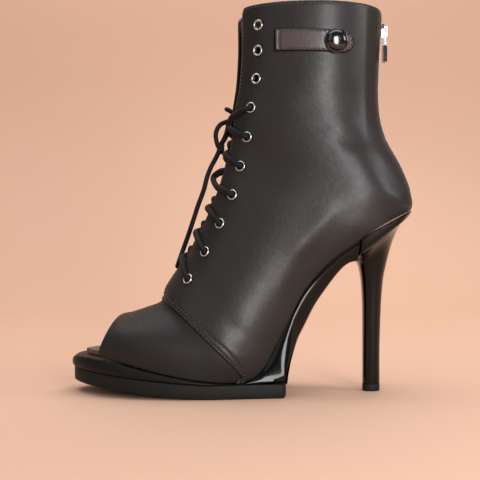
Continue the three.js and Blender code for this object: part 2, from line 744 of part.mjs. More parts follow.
// Heel: front and rear points of each level, its width, and how square its front is
const tipFront = 0.853;
const tipRear = tipFront + heelTipLength / bootLength;
const heelRows = [
  // front along, front rise, rear along, rear rise, half width share of the seat, front squareness
  [breastAlong, null, 0.994, 0.993, 1, 0.9],
  [breastAlong, 0.760, 0.990, 0.978, 0.97, 0.85],
  [breastAlong + 0.0005, 0.722, 0.972, 0.948, 0.86, 0.75],
  [breastAlong + 0.003, 0.690, 0.956, 0.892, 0.66, 0.6],
  [breastAlong + 0.008, 0.672, 0.941, 0.818, 0.51, 0.5],
  [0.8435, 0.640, 0.9305, 0.745, 0.415, 0.45],
  [0.8475, 0.590, 0.9220, 0.672, 0.36, 0.4],
  [0.8505, 0.520, 0.9145, 0.600, 0.315, 0.4],
  [0.8525, 0.420, 0.9090, 0.490, 0.275, 0.4],
  [tipFront, 0.300, 0.9055, 0.345, 0.245, 0.4],
  [tipFront, 0.150, tipRear, 0.160, 0.218, 0.4],
];
// Half outline of a level, from its front to its rear: share of its depth and of its width
function heelRing(front, rear, half, square, sides = 8) {
  const ring = [];
  for (let i = 0; i <= sides; i += 1) {
    const angle = Math.PI * (i / sides);
    const along = (1 - Math.cos(angle)) / 2;
    const blunt = 2 + 3 * square * (1 - along);
    const width = (1 - Math.abs(Math.cos(angle)) ** blunt) ** (1 / blunt);
    ring.push([along, i === 0 || i === sides ? 0 : width]);
  }
  const place = ([along, width], sign) => {
    const point = new THREE.Vector3().lerpVectors(front, rear, along);
    point.y = sign * width * half;
    return point;
  };
  return [...ring.map((entry) => place(entry, -1)),
    ...ring.slice(1, -1).reverse().map((entry) => place(entry, 1))];
}
const seatHalf = 0.336 * ballWidth;
const heelRings = heelRows.map(([frontAlong, frontRise, rearAlong, rearRise, share, square], i) => {
  const front = frontRise === null
    ? footPoint(frontAlong, 0, -gap) : new THREE.Vector3(lengthwise(frontAlong), 0, riseHeight(frontRise));
  const rear = i === 0
    ? footPoint(rearAlong, 0, -gap) : new THREE.Vector3(lengthwise(rearAlong), 0, riseHeight(rearRise));
  return heelRing(front, rear, Math.max(share * seatHalf, heelTipWidth / 2), square);
});
const tipPoints = (height) => [new THREE.Vector3(lengthwise(tipFront), 0, height),
  new THREE.Vector3(lengthwise(tipRear), 0, height)];
heelRings.push(heelRing(...tipPoints(liftThickness + gap), heelTipWidth / 2, 0.4));
addPiece('heel', loft(heelRings), glossWrap);
addPiece('top_lift', loft([liftThickness, 0].map(
  (height) => heelRing(...tipPoints(height), heelTipWidth / 2 + 0.1, 0.4),
)), soleRubber);

// Strap on the lateral side of the shaft, round at its rear end
const strapColumns = 12;
const strapSpine = (share) => ({
  x: lengthwise(strapFront) + share * strapLength,
  z: seatHeight + shaftHeight - strapDrop + strapSlope * share * strapLength,
});
function strapGrid(lift) {
  const rows = [];
  for (let i = 0; i <= strapColumns; i += 1) {
    const share = i < 8 ? i / 9.4 : 1 - (1 - 8 / 9.4) * (1 - (i - 7) / (strapColumns - 7)) ** 1.7;
    const spine = strapSpine(share);
    const left = (1 - share) * strapLength;
    const radius = strapWidth / 2;
    const half = left < radius ? Math.sqrt(Math.max(0.04, radius ** 2 - (radius - left) ** 2)) : radius;
    const row = [];
    for (let j = 0; j <= 4; j += 1) {
      const z = spine.z + mix(-half, half, j / 4);
      const { u, a } = placeOnSide(-1, spine.x, z);
      row.push(lastPoint(u, -1, a).addScaledVector(lastNormal(u, -1, a), lift));
    }
    rows.push(row);
  }
  return rows;
}
const always = { low: () => true, high: () => true };
const strapParts = shellParts(strapGrid(gap + strapThickness), strapGrid(gap), always, true);
addPiece('strap', joinParts([strapParts]), leather);

// Dome of the press stud on the strap
const snapSpine = strapSpine(1 - snapFromTip / strapLength);
const snapPlace = placeOnSide(-1, snapSpine.x, snapSpine.z);
const snapNormal = lastNormal(snapPlace.u, -1, snapPlace.a);
const snapPoint = lastPoint(snapPlace.u, -1, snapPlace.a)
  .addScaledVector(snapNormal, 2 * gap + strapThickness + 0.25);
const snapProfile = [[0, 0], [0.94, 0], [1, 0.1], [1, 0.24], [0.9, 0.5], [0.68, 0.8], [0.36, 0.97], [0, 1]]
  .map(([radius, height]) => new THREE.Vector2(radius * snapRadius, height * snapHeight));
const snap = seated(new THREE.LatheGeometry(snapProfile, 20), snapPoint, snapNormal);
addPiece('snap_cap', geometryOf(solidOf(snap)), darkMetal);

// Lace crossings between the facings, and the bar across the lowest pair of eyelets
const placeOf = (side, number) => eyelets.find((entry) => entry.side === side && entry.number === number);
const laceLift = laceRadius + gap + 0.5;
// Start of a strand: from beside an eyelet to just over the facing's edge
function laceStart(side, number, climb) {
  const { u, t } = placeOf(side, number);
  return [upperPoint(u + 0.4 * climb, side, mix(t, 1, 0.55), laceLift),
    upperPoint(u + climb, side, 1, laceLift + 0.5)];
}
// Place in the gap, close to the facing's edge, where a strand goes under the facing
function laceEnd(side, number, climb, lift) {
  const point = upperPoint(placeOf(side, number).u + climb, side, 1, lift);
  point.y -= side * (laceRadius + gap);
  return point;
}
function laceStrand(side, number, rise) {
  const [start, edge] = laceStart(side, number, laceSlant);
  const end = laceEnd(-side, number - 1, -laceDip, -0.4);
  const forward = upperNormal(placeOf(-1, number).u, -1, 1).setY(0).normalize();
  const middle = edge.clone().lerp(end, 0.5).addScaledVector(forward, rise);
  return solidOf(cordAlong([start, edge, middle, end], laceRadius, 7, 6));
}
for (let number = firstLacedEyelet; number + 1 < eyeletCount; number += 1) {
  const crossing = number - firstLacedEyelet + 1;
  const rise = crossing === looseCrossing ? looseRise : laceRise;
  const strands = [-1, 1].map((side) => laceStrand(side, number + 1, rise));
  addPiece(`lace_crossing_${crossing}`, geometryOf(strands[0].add(strands[1])), laceCotton);
}
const barEnds = [-1, 1].map((side) => laceEnd(side, eyeletCount - 1, 0, -laceRadius));
barEnds.forEach((end, i) => end.setY(end.y + (2 * i - 1) * laceRadius));
addPiece('lace_bar', geometryOf(solidOf(cordAlong(barEnds, laceRadius, 2, 6))), laceCotton);

// Knot of the lace with its leads, the end that curls up from it and the end that hangs down.
// Points run along the boot, across it and up
const knot = new THREE.Vector3(-13.6, 0, 152.8);
const besideKnot = (x, y, z) => new THREE.Vector3(x, y, z).setLength(knotRadius + 2 * gap).add(knot);
const cordPoints = (rows) => rows.map(([x, y, z]) => new THREE.Vector3(x, y, z));
const curlPoints = [besideKnot(-0.72, -0.35, 0.6).add(new THREE.Vector3(-0.3, -0.2, 0.4)), ...cordPoints([
  [-16.4, -1.4, 158.6], [-16.6, -1.2, 161.8], [-15.6, -0.8, 165.4], [-13.2, -0.4, 168.4], [-10.4, 0, 169.6],
  [-7.8, 0, 170.8], [-5.8, 0.6, 172.8], [-5.8, 1.4, 175.2], [-7.6, 2.4, 177], [-9.8, 3, 178.2],
])];
const hangingPoints = [besideKnot(-0.5, 0, -0.87), ...cordPoints([
  [-17, -0.6, 146], [-19.4, -1, 141.6], [-22, -1.4, 135], [-24.2, -1.4, 126.6], [-27.7, -0.6, 117.2],
  [-30.8, 0.4, 108.4], [-33.8, 1.2, 100], [-37, 2, 92.6], [-40.4, 2.6, 87], [-43.8, 3.2, 82.6],
])];
const knotBall = new THREE.SphereGeometry(knotRadius, 10, 8).translate(knot.x, knot.y, knot.z);
const leadPoints = [-1, 1].map((side) => [
  ...laceStart(side, firstLacedEyelet, -laceSlant), new THREE.Vector3(-10.9, side * 4.5, 163.8),
]);
const leads = [...leadPoints[0], new THREE.Vector3(knot.x + 0.4, 0, knot.z + knotRadius + laceRadius + gap + 0.4),
  ...leadPoints[1].reverse()];
addPiece('lace_knot', geometryOf(solidOf(knotBall)), laceCotton);
[['lace_lead', leads, 12], ['lace_curl', curlPoints, 13], ['lace_end', hangingPoints, 16]]
  .forEach(([name, points, steps]) => addPiece(name, geometryOf(solidOf(cordAlong(points, laceRadius, steps))),
    laceCotton));

// Zip down the back: teeth, slider, and the pull that swings on the slider
function backPoint(u, lift) {
  return lastPoint(u, 1, 0).addScaledVector(lastNormal(u, 1, 0), lift);
}
function backSectionAt(height) {
  let u = seatSection;
  while (u < collarSection && lastPoint(u, 1, 0).z < height) u += 0.01;
  return Math.min(u, collarSection);
}
const collarHeight = riseHeight(2);
const chainRows = 16;
const chainLow = backSectionAt(riseHeight(chainBottomRise));
const chainHigh = backSectionAt(collarHeight - 1.5);
const chainSections = stations(chainHigh, chainLow, chainRows);
function backBar(sections, half, inner, outer, top) {
  return loft(sections.map((u) => {
    const point = (lift, y) => backPoint(u, lift).setY(y);
    return [point(inner, -half), point(inner, half), point(outer, half * top), point(outer, -half * top)];
  }));
}
const chainSeat = -chainDepth;
const groove = backBar([collarSection + 0.3, ...chainSections, chainLow - 0.15], chainWidth / 2 + grooveClearance,
  chainSeat, 2, 1.1);
upper = upper.subtract(solidOf(groove));
addPiece('upper', geometryOf(upper), leather);

addPiece('zip_chain', backBar(
  chainSections,
  chainWidth / 2,
  chainSeat + gap,
  chainSeat + gap + chainThickness,
  0.75,
), darkMetal);

const sliderSection = backSectionAt(collarHeight - sliderDrop);
const sliderNormal = lastNormal(sliderSection, 1, 0);
const sliderSeat = backPoint(sliderSection, chainSeat + chainThickness + 2 * gap + 0.1);
const sliderShape = new THREE.Shape();
[[-0.5, -0.5], [0.5, -0.5], [0.5, 0.1], [0.32, 0.5], [-0.32, 0.5], [-0.5, 0.1]].forEach(([y, z], i) => {
  if (i === 0) sliderShape.moveTo(y * sliderWidth, z * sliderLength);
  else sliderShape.lineTo(y * sliderWidth, z * sliderLength);
});
// Plate of the slider and the bridge that the link hangs on: across, up and outwards
const plate = new THREE.ExtrudeGeometry(sliderShape, { depth: sliderThickness, bevelEnabled: false });
const bridgeSpace = 2 * (linkWire + gap);
const bridgeTop = sliderThickness + bridgeSpace + bridgeThickness;
const bridgeBar = new THREE.BoxGeometry(bridgeWidth, bridgeLength, bridgeThickness)
  .translate(0, 0, bridgeTop - bridgeThickness / 2);
const bridgeLegs = [-1, 1].map((end) => new THREE.BoxGeometry(bridgeWidth, bridgeThickness, bridgeTop - 1)
  .translate(0, (end * (bridgeLength - bridgeThickness)) / 2, (bridgeTop + 1) / 2));
const sliderGeometry = geometryOf([bridgeBar, ...bridgeLegs]
  .reduce((solid, geometry) => solid.add(solidOf(geometry)), solidOf(plate)));
const sliderTurn = new THREE.Matrix4().makeBasis(
  new THREE.Vector3(0, 1, 0),
  new THREE.Vector3(-sliderNormal.z, 0, sliderNormal.x),
  sliderNormal,
);
sliderGeometry.applyMatrix4(sliderTurn).translate(sliderSeat.x, 0, sliderSeat.z);
addPiece('zip_slider', sliderGeometry, metal);

// Link and tab hang straight down from the bridge; the link's upper bar is the hinge
const hinge = sliderSeat.clone().addScaledVector(sliderNormal, sliderThickness + bridgeSpace / 2)
  .addScaledVector(new THREE.Vector3(-sliderNormal.z, 0, sliderNormal.x), -bridgeLength / 2 + 1.6);
const linkHalf = linkWidth / 2;
function wire(points) {
  return solidOf(cordAlong(points, linkWire, 1, 6));
}
const linkCorner = (y, drop) => new THREE.Vector3(hinge.x, y, hinge.z - drop);
const reach = linkWire * 0.9;
const link = [
  [linkCorner(-linkHalf - reach, 0), linkCorner(linkHalf + reach, 0)],
  [linkCorner(-linkHalf - reach, linkLength), linkCorner(linkHalf + reach, linkLength)],
  [linkCorner(-linkHalf, -reach), linkCorner(-linkHalf, linkLength + reach)],
  [linkCorner(linkHalf, -reach), linkCorner(linkHalf, linkLength + reach)],
].map(wire).reduce((solid, bar) => solid.add(bar));
addPiece('pull_link', geometryOf(link), metal);

const slotHalf = linkWire + gap;
const tabTop = hinge.z - linkLength + slotHalf + 0.6;
const neckHalf = linkHalf - slotHalf;
const neckFoot = -2 * slotHalf - 1;
const wide = pullWidth / 2;
// Half outline of the tab, from its neck inside the link down to its tip
const tabOutline = [[neckHalf, 0], [neckHalf, neckFoot], [wide, neckFoot - 0.6], [1.2 * wide, 1.4 - pullLength],
  [0.95 * wide, -pullLength]];
const tabShape = new THREE.Shape([...tabOutline, ...tabOutline.map(([y, z]) => [-y, z]).reverse()]
  .map(([y, z]) => new THREE.Vector2(y, z)));
const tab = solidOf(new THREE.ExtrudeGeometry(tabShape, { depth: pullThickness, bevelEnabled: false })
  .rotateX(Math.PI / 2).rotateZ(Math.PI / 2).translate(hinge.x - pullThickness / 2, 0, tabTop));
const tabSlot = solidOf(new THREE.BoxGeometry(2 * slotHalf, 4 * neckHalf, 2 * slotHalf)
  .translate(hinge.x, 0, hinge.z - linkLength));
addPiece('pull_tab', geometryOf(tab.subtract(tabSlot)), leather);

boot.updateMatrixWorld(true);
const box = new THREE.Box3().setFromObject(boot);
boot.position.set(-(box.min.x + box.max.x) / 2, -(box.min.y + box.max.y) / 2, 0);

export default boot;
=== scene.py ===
# Left stiletto ankle boot: peep toe, platform, front lacing, side strap and back zip.
# Lengths are in millimetres here and become metres when a vertex is placed.
import math

import bmesh
import bpy
from mathutils import Matrix, Vector


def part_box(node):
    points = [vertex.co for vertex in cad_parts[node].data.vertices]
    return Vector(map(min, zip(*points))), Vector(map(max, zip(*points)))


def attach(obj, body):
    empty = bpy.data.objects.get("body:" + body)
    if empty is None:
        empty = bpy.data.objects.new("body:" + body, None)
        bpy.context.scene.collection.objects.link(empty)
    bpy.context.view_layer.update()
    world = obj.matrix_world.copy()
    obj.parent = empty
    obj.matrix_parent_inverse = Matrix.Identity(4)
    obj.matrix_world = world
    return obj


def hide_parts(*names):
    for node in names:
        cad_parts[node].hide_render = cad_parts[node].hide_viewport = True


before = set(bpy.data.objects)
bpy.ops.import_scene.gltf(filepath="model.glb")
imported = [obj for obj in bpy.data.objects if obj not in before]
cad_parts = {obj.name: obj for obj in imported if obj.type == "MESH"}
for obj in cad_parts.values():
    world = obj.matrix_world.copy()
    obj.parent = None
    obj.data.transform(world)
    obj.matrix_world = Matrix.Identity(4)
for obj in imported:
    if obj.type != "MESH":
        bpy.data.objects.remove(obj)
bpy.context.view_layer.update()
mm = 0.001
scene = bpy.context.scene

# camera as in the photograph: level, straight at the lateral side
cameraSetup = {"place": (-0.95, -600.0, 95.0), "lens": 71.1}
cameraData = bpy.data.cameras.new("camera")
cameraData.lens = cameraSetup["lens"]
cameraData.sensor_width = 36
cameraData.clip_start = 0.01
camera = bpy.data.objects.new("camera", cameraData)
camera.location = [value * mm for value in cameraSetup["place"]]
camera.rotation_euler = (math.radians(90), 0, 0)
scene.collection.objects.link(camera)
scene.camera = camera

# sizes of the last and the sole, as the solids have them
last = {
    "length": 216, "seatHeight": 114, "shaftHeight": 125, "ballWidth": 80, "outsole": 8.5,
    "toeSwing": 6, "ballHeight": 9.4, "toeSpring": 7.6, "toeLift": 14, "feather": 1,
    "collar": 19, "seat": 13, "throat": 4.12, "peep": 1, "heelEnd": 0.993, "tipFront": 0.853,
}

# share of the length, then half widths: footbed lateral and medial, outsole lateral and medial
outlineRows = [
    (0.00, 0.445, 0.415, 0.445, 0.415), (0.15, 0.475, 0.460, 0.475, 0.460),
    (0.27, 0.500, 0.492, 0.500, 0.492), (0.36, 0.507, 0.480, 0.507, 0.480),
    (0.44, 0.480, 0.425, 0.488, 0.440), (0.52, 0.415, 0.352, 0.455, 0.400),
    (0.60, 0.345, 0.305, 0.425, 0.370), (0.70, 0.298, 0.285, 0.400, 0.350),
    (0.80, 0.315, 0.310, 0.400, 0.350), (0.88, 0.338, 0.338, 0.400, 0.350),
    (1.00, 0.344, 0.344, 0.400, 0.350),
]

# footbed: share of the length, share of the toe lift, rise from the ball to the seat
footRows = [
    (0.000, 0.94, 0), (0.042, 1.00, 0), (0.088, 1.00, 0), (0.148, 0.87, 0), (0.218, 0.63, 0),
    (0.292, 0.37, 0), (0.366, 0.165, 0), (0.431, 0.04, 0), (0.484, 0, 0), (0.519, 0, 0.014),
    (0.542, 0, 0.042), (0.568, 0, 0.100), (0.593, 0, 0.198), (0.624, 0, 0.318),
    (0.646, 0, 0.410), (0.672, 0, 0.510), (0.717, 0, 0.627), (0.759, 0, 0.710),
    (0.804, 0, 0.779), (0.881, 0, 0.888), (0.940, 0, 0.953), (0.993, 0, 1.000),
]

# sections: number, top along and rise, low along and rise, width, lateral, medial, widest, round
sectionRows = [
    (0, 0.086, 0.290, 0.048, None, 80, 0.330, 0.320, 0.36, 2.35),
    (1, 0.138, 0.372, 0.102, None, 80, 0.415, 0.405, 0.36, 2.30),
    (2, 0.176, 0.394, 0.188, None, 80, 0.484, 0.475, 0.37, 2.15),
    (3, 0.218, 0.423, 0.305, None, 80, 0.512, 0.500, 0.37, 2.05),
    (4, 0.262, 0.462, 0.484, None, 80, 0.512, 0.485, 0.34, 2.00),
    (5, 0.277, 0.546, 0.528, None, 80, 0.502, 0.460, 0.34, 1.95),
    (6, 0.307, 0.646, 0.560, None, 80, 0.482, 0.435, 0.35, 1.92),
    (7, 0.339, 0.747, 0.588, None, 80, 0.457, 0.415, 0.36, 1.90),
    (8, 0.362, 0.847, 0.620, None, 80, 0.432, 0.400, 0.37, 1.90),
    (9, 0.386, 0.948, 0.662, None, 80, 0.412, 0.390, 0.37, 1.95),
    (10, 0.404, 1.036, 0.736, None, 61, 0.522, 0.505, 0.36, 2.05),
    (11, 0.421, 1.117, 0.838, None, 61, 0.512, 0.500, 0.34, 2.20),
    (12, 0.4285, 1.195, 0.944, None, 61, 0.504, 0.500, 0.31, 2.20),
    (13, 0.436, 1.264, 0.993, 1.000, 61, 0.500, 0.500, 0.33, 2.20),
    (14, 0.4465, 1.328, 0.992, 1.088, 61, 0.497, 0.497, 0.37, 2.20),
    (15, 0.4545, 1.404, 0.960, 1.227, 61, 0.490, 0.490, 0.41, 2.20),
    (16, 0.464, 1.504, 0.915, 1.370, 61, 0.483, 0.483, 0.44, 2.20),
    (17, 0.479, 1.632, 0.8965, 1.525, 66, 0.455, 0.455, 0.46, 2.15),
    (18, 0.487, 1.808, 0.898, 1.740, 66, 0.475, 0.475, 0.46, 2.15),
    (19, 0.4875, 2.000, 0.9065, 2.000, 66, 0.500, 0.500, 0.46, 2.15),
]


def clamp(value, low=0.0, high=1.0):
    return min(max(value, low), high)


def mix(start, end, share):
    return start + (end - start) * share


def ease(value):
    value = clamp(value)
    return value * value * (3 - 2 * value)


def lengthwise(along):
    return (along - 0.5) * last["length"]


def alongOf(x):
    return x / last["length"] + 0.5


def riseHeight(rise):
    foot = last["ballHeight"] + min(rise, 1) * (last["seatHeight"] - last["ballHeight"])
    return foot + max(rise - 1, 0) * last["shaftHeight"]


def smoothAt(rows, column, place):
    end = len(rows) - 1
    row = 0
    while row < end - 1 and place > rows[row + 1][0]:
        row += 1

    def slope(index):
        before = rows[max(index - 1, 0)]
        after = rows[min(index + 1, end)]
        return (after[column] - before[column]) / (after[0] - before[0])

    start, stop = rows[row], rows[row + 1]
    span = stop[0] - start[0]
    t = clamp((place - start[0]) / span)
    t2, t3 = t * t, t * t * t
    return ((2 * t3 - 3 * t2 + 1) * start[column] + (t3 - 2 * t2 + t) * span * slope(row)
            + (3 * t2 - 2 * t3) * stop[column] + (t3 - t2) * span * slope(row + 1))


def axisShift(along):
    return last["toeSwing"] * max(0, 1 - along / 0.36) ** 2


def footHeight(along):
    rise = smoothAt(footRows, 2, along) * (last["seatHeight"] - last["ballHeight"])
    return last["ballHeight"] + smoothAt(footRows, 1, along) * last["toeLift"] + rise


def soleBottom(along):
    return last["toeSpring"] * max(0, 1 - along / 0.4) ** 1.2


def outlineHalf(side, along, noseInset=0.0, tread=0):
    nose = clamp(1 - (along - noseInset / last["length"]) / 0.25)
    heel = clamp((along - last["heelEnd"] + 0.15) / 0.15)
    rounding = math.sqrt(max(0, (1 - nose ** 2.1) * (1 - heel ** 2.2)))
    column = (1 if side < 0 else 2) + 2 * tread
    return smoothAt(outlineRows, column, along) * last["ballWidth"] * rounding


lastRows = [
    (number, lengthwise(topAlong), riseHeight(topRise), lengthwise(lowAlong),
     footHeight(lowAlong) if lowRise is None else riseHeight(lowRise),
     lateral * width, medial * width, widest, roundness)
    for number, topAlong, topRise, lowAlong, lowRise, width, lateral, medial, widest, roundness
    in sectionRows
]
sectionCache = {}


def lastSection(u):
    key = round(u, 5)
    if key not in sectionCache:
        values = [smoothAt(lastRows, column, u) for column in range(1, 9)]
        if u < last["seat"]:
            values[3] = footHeight(alongOf(values[2]))
        low = outlineHalf(-1, alongOf(values[2])) - last["feather"]
        lowMedial = outlineHalf(1, alongOf(values[2])) - last["feather"]
        edges = (low, lowMedial) if u < last["seat"] else (0, 0)
        sectionCache[key] = values + [max(edges[0], 0), max(edges[1], 0)]
    return sectionCache[key]


def lastPoint(u, side, a):
    (topX, topZ, lowX, lowZ, lateral, medial, widest, roundness,
     lowLateral, lowMedial) = lastSection(u)
    half = lateral if side < 0 else medial
    turn = (a - 0.5) * math.pi
    if a < 0.5:
        edge = min(lowLateral if side < 0 else lowMedial, half)
        down = math.sin(-turn)
        level = widest * (1 - down)
        reach = math.sqrt(max(0, half ** 2 - (half ** 2 - edge ** 2) * down ** 2))
    else:
        level = widest + (1 - widest) * math.sin(turn) ** (2 / roundness)
        reach = half * max(0, math.cos(turn)) ** (2 / roundness)
    x = mix(lowX, topX, level)
    return Vector((x, axisShift(alongOf(x)) + side * reach, mix(lowZ, topZ, level)))


def lastNormal(u, side, a):
    step = 0.004

    def around(place):
        if place > 1:
            return lastPoint(u, -side, 2 - place)
        if place < 0:
            return lastPoint(u, side, 0) if u < last["seat"] else lastPoint(u, -side, -place)
        return lastPoint(u, side, place)

    upward = around(a + step) - around(a - step)
    forward = lastPoint(u + step, side, a) - lastPoint(u - step, side, a)
    normal = upward.cross(forward) * side
    if a == 1 or (a == 0 and u >= last["seat"]):
        normal.y = 0
    return normal.normalized()


def facingGap(u):
    if u <= last["throat"]:
        return 0
    height = lastSection(u)[1]
    foot = lastSection(last["throat"])[1]
    collar = riseHeight(2)
    wide = mix(5, 11, ease((height - foot) / (0.55 * (collar - foot))))
    start = clamp((height - foot) / 5)
    corner = clamp((height - collar + 5) / 5)
    return wide * math.sqrt(1 - (1 - start) ** 2) + 5 * (1 - math.sqrt(1 - corner ** 2))


def edgeShare(u, side):
    section = lastSection(u)
    half = section[4] if side < 0 else section[5]
    return 0.5 + math.acos((facingGap(u) / half) ** (section[7] / 2)) / math.pi


def upperPoint(u, side, t, lift=0.0):
    a = t * edgeShare(u, side)
    point = lastPoint(u, side, a)
    if lift:
        point += lastNormal(u, side, a) * lift
    if side > 0:
        height = (point.z - last["seatHeight"]) / last["shaftHeight"]
        point.x -= 2.6 * ease((t - 0.72) / 0.28) * ease((height - 0.3) / 0.3)
    return point


def upperNormal(u, side, t):
    step = 0.01
    forward = upperPoint(u + step, side, t) - upperPoint(u - step, side, t)
    upward = upperPoint(u, side, t + step) - upperPoint(u, side, t - step)
    return (upward.cross(forward) * side).normalized()


# section and share of the last's point at x and z, by Newton steps from a first guess
def settleOnSide(side, x, z, u, a, rounds):
    step = 0.001
    for _ in range(rounds):
        here = lastPoint(u, side, a)
        alongU = (lastPoint(u + step, side, a) - here) * 1000
        alongA = (lastPoint(u, side, a + step) - here) * 1000
        area = alongU.x * alongA.z - alongU.z * alongA.x
        u += ((x - here.x) * alongA.z - (z - here.z) * alongA.x) / area
        a += (alongU.x * (z - here.z) - alongU.z * (x - here.x)) / area
        u, a = clamp(u, 0, last["collar"]), clamp(a, 0.02, 0.99)
    return u, a


def placeOnSide(side, x, z):
    best = (1e9, 8, 0.6)
    for i in range(1, 38):
        for j in range(2, 20):
            u, a = i / 2 + 0.5, j / 20
            point = lastPoint(u, side, a)
            best = min(best, (math.hypot(point.x - x, point.z - z), u, a))
    return settleOnSide(side, x, z, best[1], best[2], 7)


# the solids were centred on the floor after they were made
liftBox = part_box("top_lift")
centring = Vector((liftBox[0][0] / mm - lengthwise(last["tipFront"]),
                   (liftBox[0][1] + liftBox[1][1]) / 2 / mm, 0))


def toWorld(point):
    return (Vector(point) + centring) * mm


# colours and materials
def toLinear(code):
    parts = [int(code[i:i + 2], 16) / 255 for i in (0, 2, 4)]
    return [v / 12.92 if v <= 0.04045 else ((v + 0.055) / 1.055) ** 2.4 for v in parts] + [1]


def addNode(tree, kind, values=None, links=None, **settings):
    node = tree.nodes.new(kind)
    for name, value in settings.items():
        setattr(node, name, value)
    for name, value in (values or {}).items():
        node.inputs[name].default_value = value
    for name, source in (links or {}).items():
        tree.links.new(source, node.inputs[name])
    return node


def newMaterial(name, recipe, *look):
    material = bpy.data.materials.new(name)
    material.use_nodes = True
    tree = material.node_tree
    tree.nodes.clear()
    shader = recipe(tree, *look)
    addNode(tree, "ShaderNodeOutputMaterial", links={"Surface": shader.outputs[0]})
    return material


# smooth calf: dyed black and finished with a satin dressing, so it gives broad soft highlights
# that the pores and the fine grain break up; the colour is a little greyer where it is stretched
def calfLeather(tree, look):
    place = addNode(tree, "ShaderNodeTexCoord").outputs["Object"]
    clouds = addNode(tree, "ShaderNodeTexNoise", {"Scale": 1 / (look["cloud"] * mm), "Detail": 3.0},
                     {"Vector": place})
    tint = addNode(tree, "ShaderNodeMix", {6: toLinear(look["deep"]), 7: toLinear(look["pale"])},
                   {"Factor": clouds.outputs[0]}, data_type="RGBA")
    pores = addNode(tree, "ShaderNodeTexVoronoi", {"Scale": 1 / (look["pore"] * mm)},
                    {"Vector": place}, feature="SMOOTH_F1")
    wrinkles = addNode(tree, "ShaderNodeTexNoise", {"Scale": 1 / (look["wrinkle"] * mm),
                                                    "Detail": 4.0, "Roughness": 0.55},
                       {"Vector": place})
    low, high = look["rough"]
    rough = addNode(tree, "ShaderNodeMapRange", {"From Min": 0.3, "From Max": 0.7, "To Min": low,
                                                 "To Max": high}, {"Value": wrinkles.outputs[0]})
    broad = addNode(tree, "ShaderNodeBump", {"Strength": look["soft"], "Distance": 0.6 * mm},
                    {"Height": wrinkles.outputs[0]})
    fine = addNode(tree, "ShaderNodeBump", {"Strength": look["grain"], "Distance": 0.12 * mm},
                   {"Height": pores.outputs["Distance"], "Normal": broad.outputs["Normal"]})
    return addNode(tree, "ShaderNodeBsdfPrincipled",
                     {"IOR": 1.5, "Specular IOR Level": look["gloss"], "Coat Weight": look["coat"],
                      "Coat Roughness": look["coatRough"]},
                     {"Base Color": tint.outputs[2], "Roughness": rough.outputs[0],
                    "Normal": fine.outputs["Normal"]})


# patent wrap of the heel and waist: leather under a thick clear lacquer, nearly a mirror, with the
# slow ripple of the heel block showing in its reflections
def patentWrap(tree):
    place = addNode(tree, "ShaderNodeTexCoord").outputs["Object"]
    ripple = addNode(tree, "ShaderNodeTexNoise", {"Scale": 1 / (9 * mm), "Detail": 2.0},
                     {"Vector": place})
    dust = addNode(tree, "ShaderNodeTexNoise", {"Scale": 1 / (0.9 * mm), "Detail": 3.0},
                   {"Vector": place})
    rough = addNode(tree, "ShaderNodeMapRange", {"To Min": 0.12, "To Max": 0.26},
                    {"Value": dust.outputs[0]})
    dents = addNode(tree, "ShaderNodeBump", {"Strength": 0.25, "Distance": 0.5 * mm},
                    {"Height": ripple.outputs[0]})
    return addNode(tree, "ShaderNodeBsdfPrincipled",
                     {"Base Color": toLinear("060505"), "IOR": 1.5, "Specular IOR Level": 0.1,
                      "Coat Weight": 0.35, "Coat Roughness": 0.06},
                     {"Roughness": rough.outputs[0],
                      "Normal": dents.outputs["Normal"]})


# moulded sole rubber: matt charcoal, with the faint speckle and bloom of the mould
def mouldedRubber(tree):
    place = addNode(tree, "ShaderNodeTexCoord").outputs["Object"]
    speckle = addNode(tree, "ShaderNodeTexNoise", {"Scale": 1 / (0.7 * mm), "Detail": 5.0},
                      {"Vector": place})
    bloom = addNode(tree, "ShaderNodeTexNoise", {"Scale": 1 / (14 * mm), "Detail": 3.0},
                    {"Vector": place})
    tint = addNode(tree, "ShaderNodeMix", {6: toLinear("0f100e"), 7: toLinear("191b18")},
                   {"Factor": bloom.outputs[0]}, data_type="RGBA")
    rough = addNode(tree, "ShaderNodeMapRange", {"To Min": 0.5, "To Max": 0.75},
                    {"Value": speckle.outputs[0]})
    grit = addNode(tree, "ShaderNodeBump", {"Strength": 0.3, "Distance": 0.15 * mm},
                    {"Height": speckle.outputs[0]})
    return addNode(tree, "ShaderNodeBsdfPrincipled", {"IOR": 1.52, "Specular IOR Level": 0.2},
                     {"Base Color": tint.outputs[2], "Roughness": rough.outputs[0],
                      "Normal": grit.outputs["Normal"]})


# pigskin lining: undyed tan, soft and matt, with its pores in loose groups
def pigskinLining(tree):
    place = addNode(tree, "ShaderNodeTexCoord").outputs["Object"]
    pores = addNode(tree, "ShaderNodeTexVoronoi", {"Scale": 1 / (1.6 * mm)}, {"Vector": place})
    blotch = addNode(tree, "ShaderNodeTexNoise", {"Scale": 1 / (11 * mm), "Detail": 4.0},
                     {"Vector": place})
    tint = addNode(tree, "ShaderNodeMix", {6: toLinear("5a4838"), 7: toLinear("755f49")},
                   {"Factor": blotch.outputs[0]}, data_type="RGBA")
    pits = addNode(tree, "ShaderNodeBump", {"Strength": 0.35, "Distance": 0.15 * mm},
                    {"Height": pores.outputs["Distance"]})
    return addNode(tree, "ShaderNodeBsdfPrincipled",
                     {"Roughness": 0.72, "IOR": 1.45, "Sheen Weight": 0.15, "Sheen Roughness": 0.5},
                     {"Base Color": tint.outputs[2],
                      "Normal": pits.outputs["Normal"]})


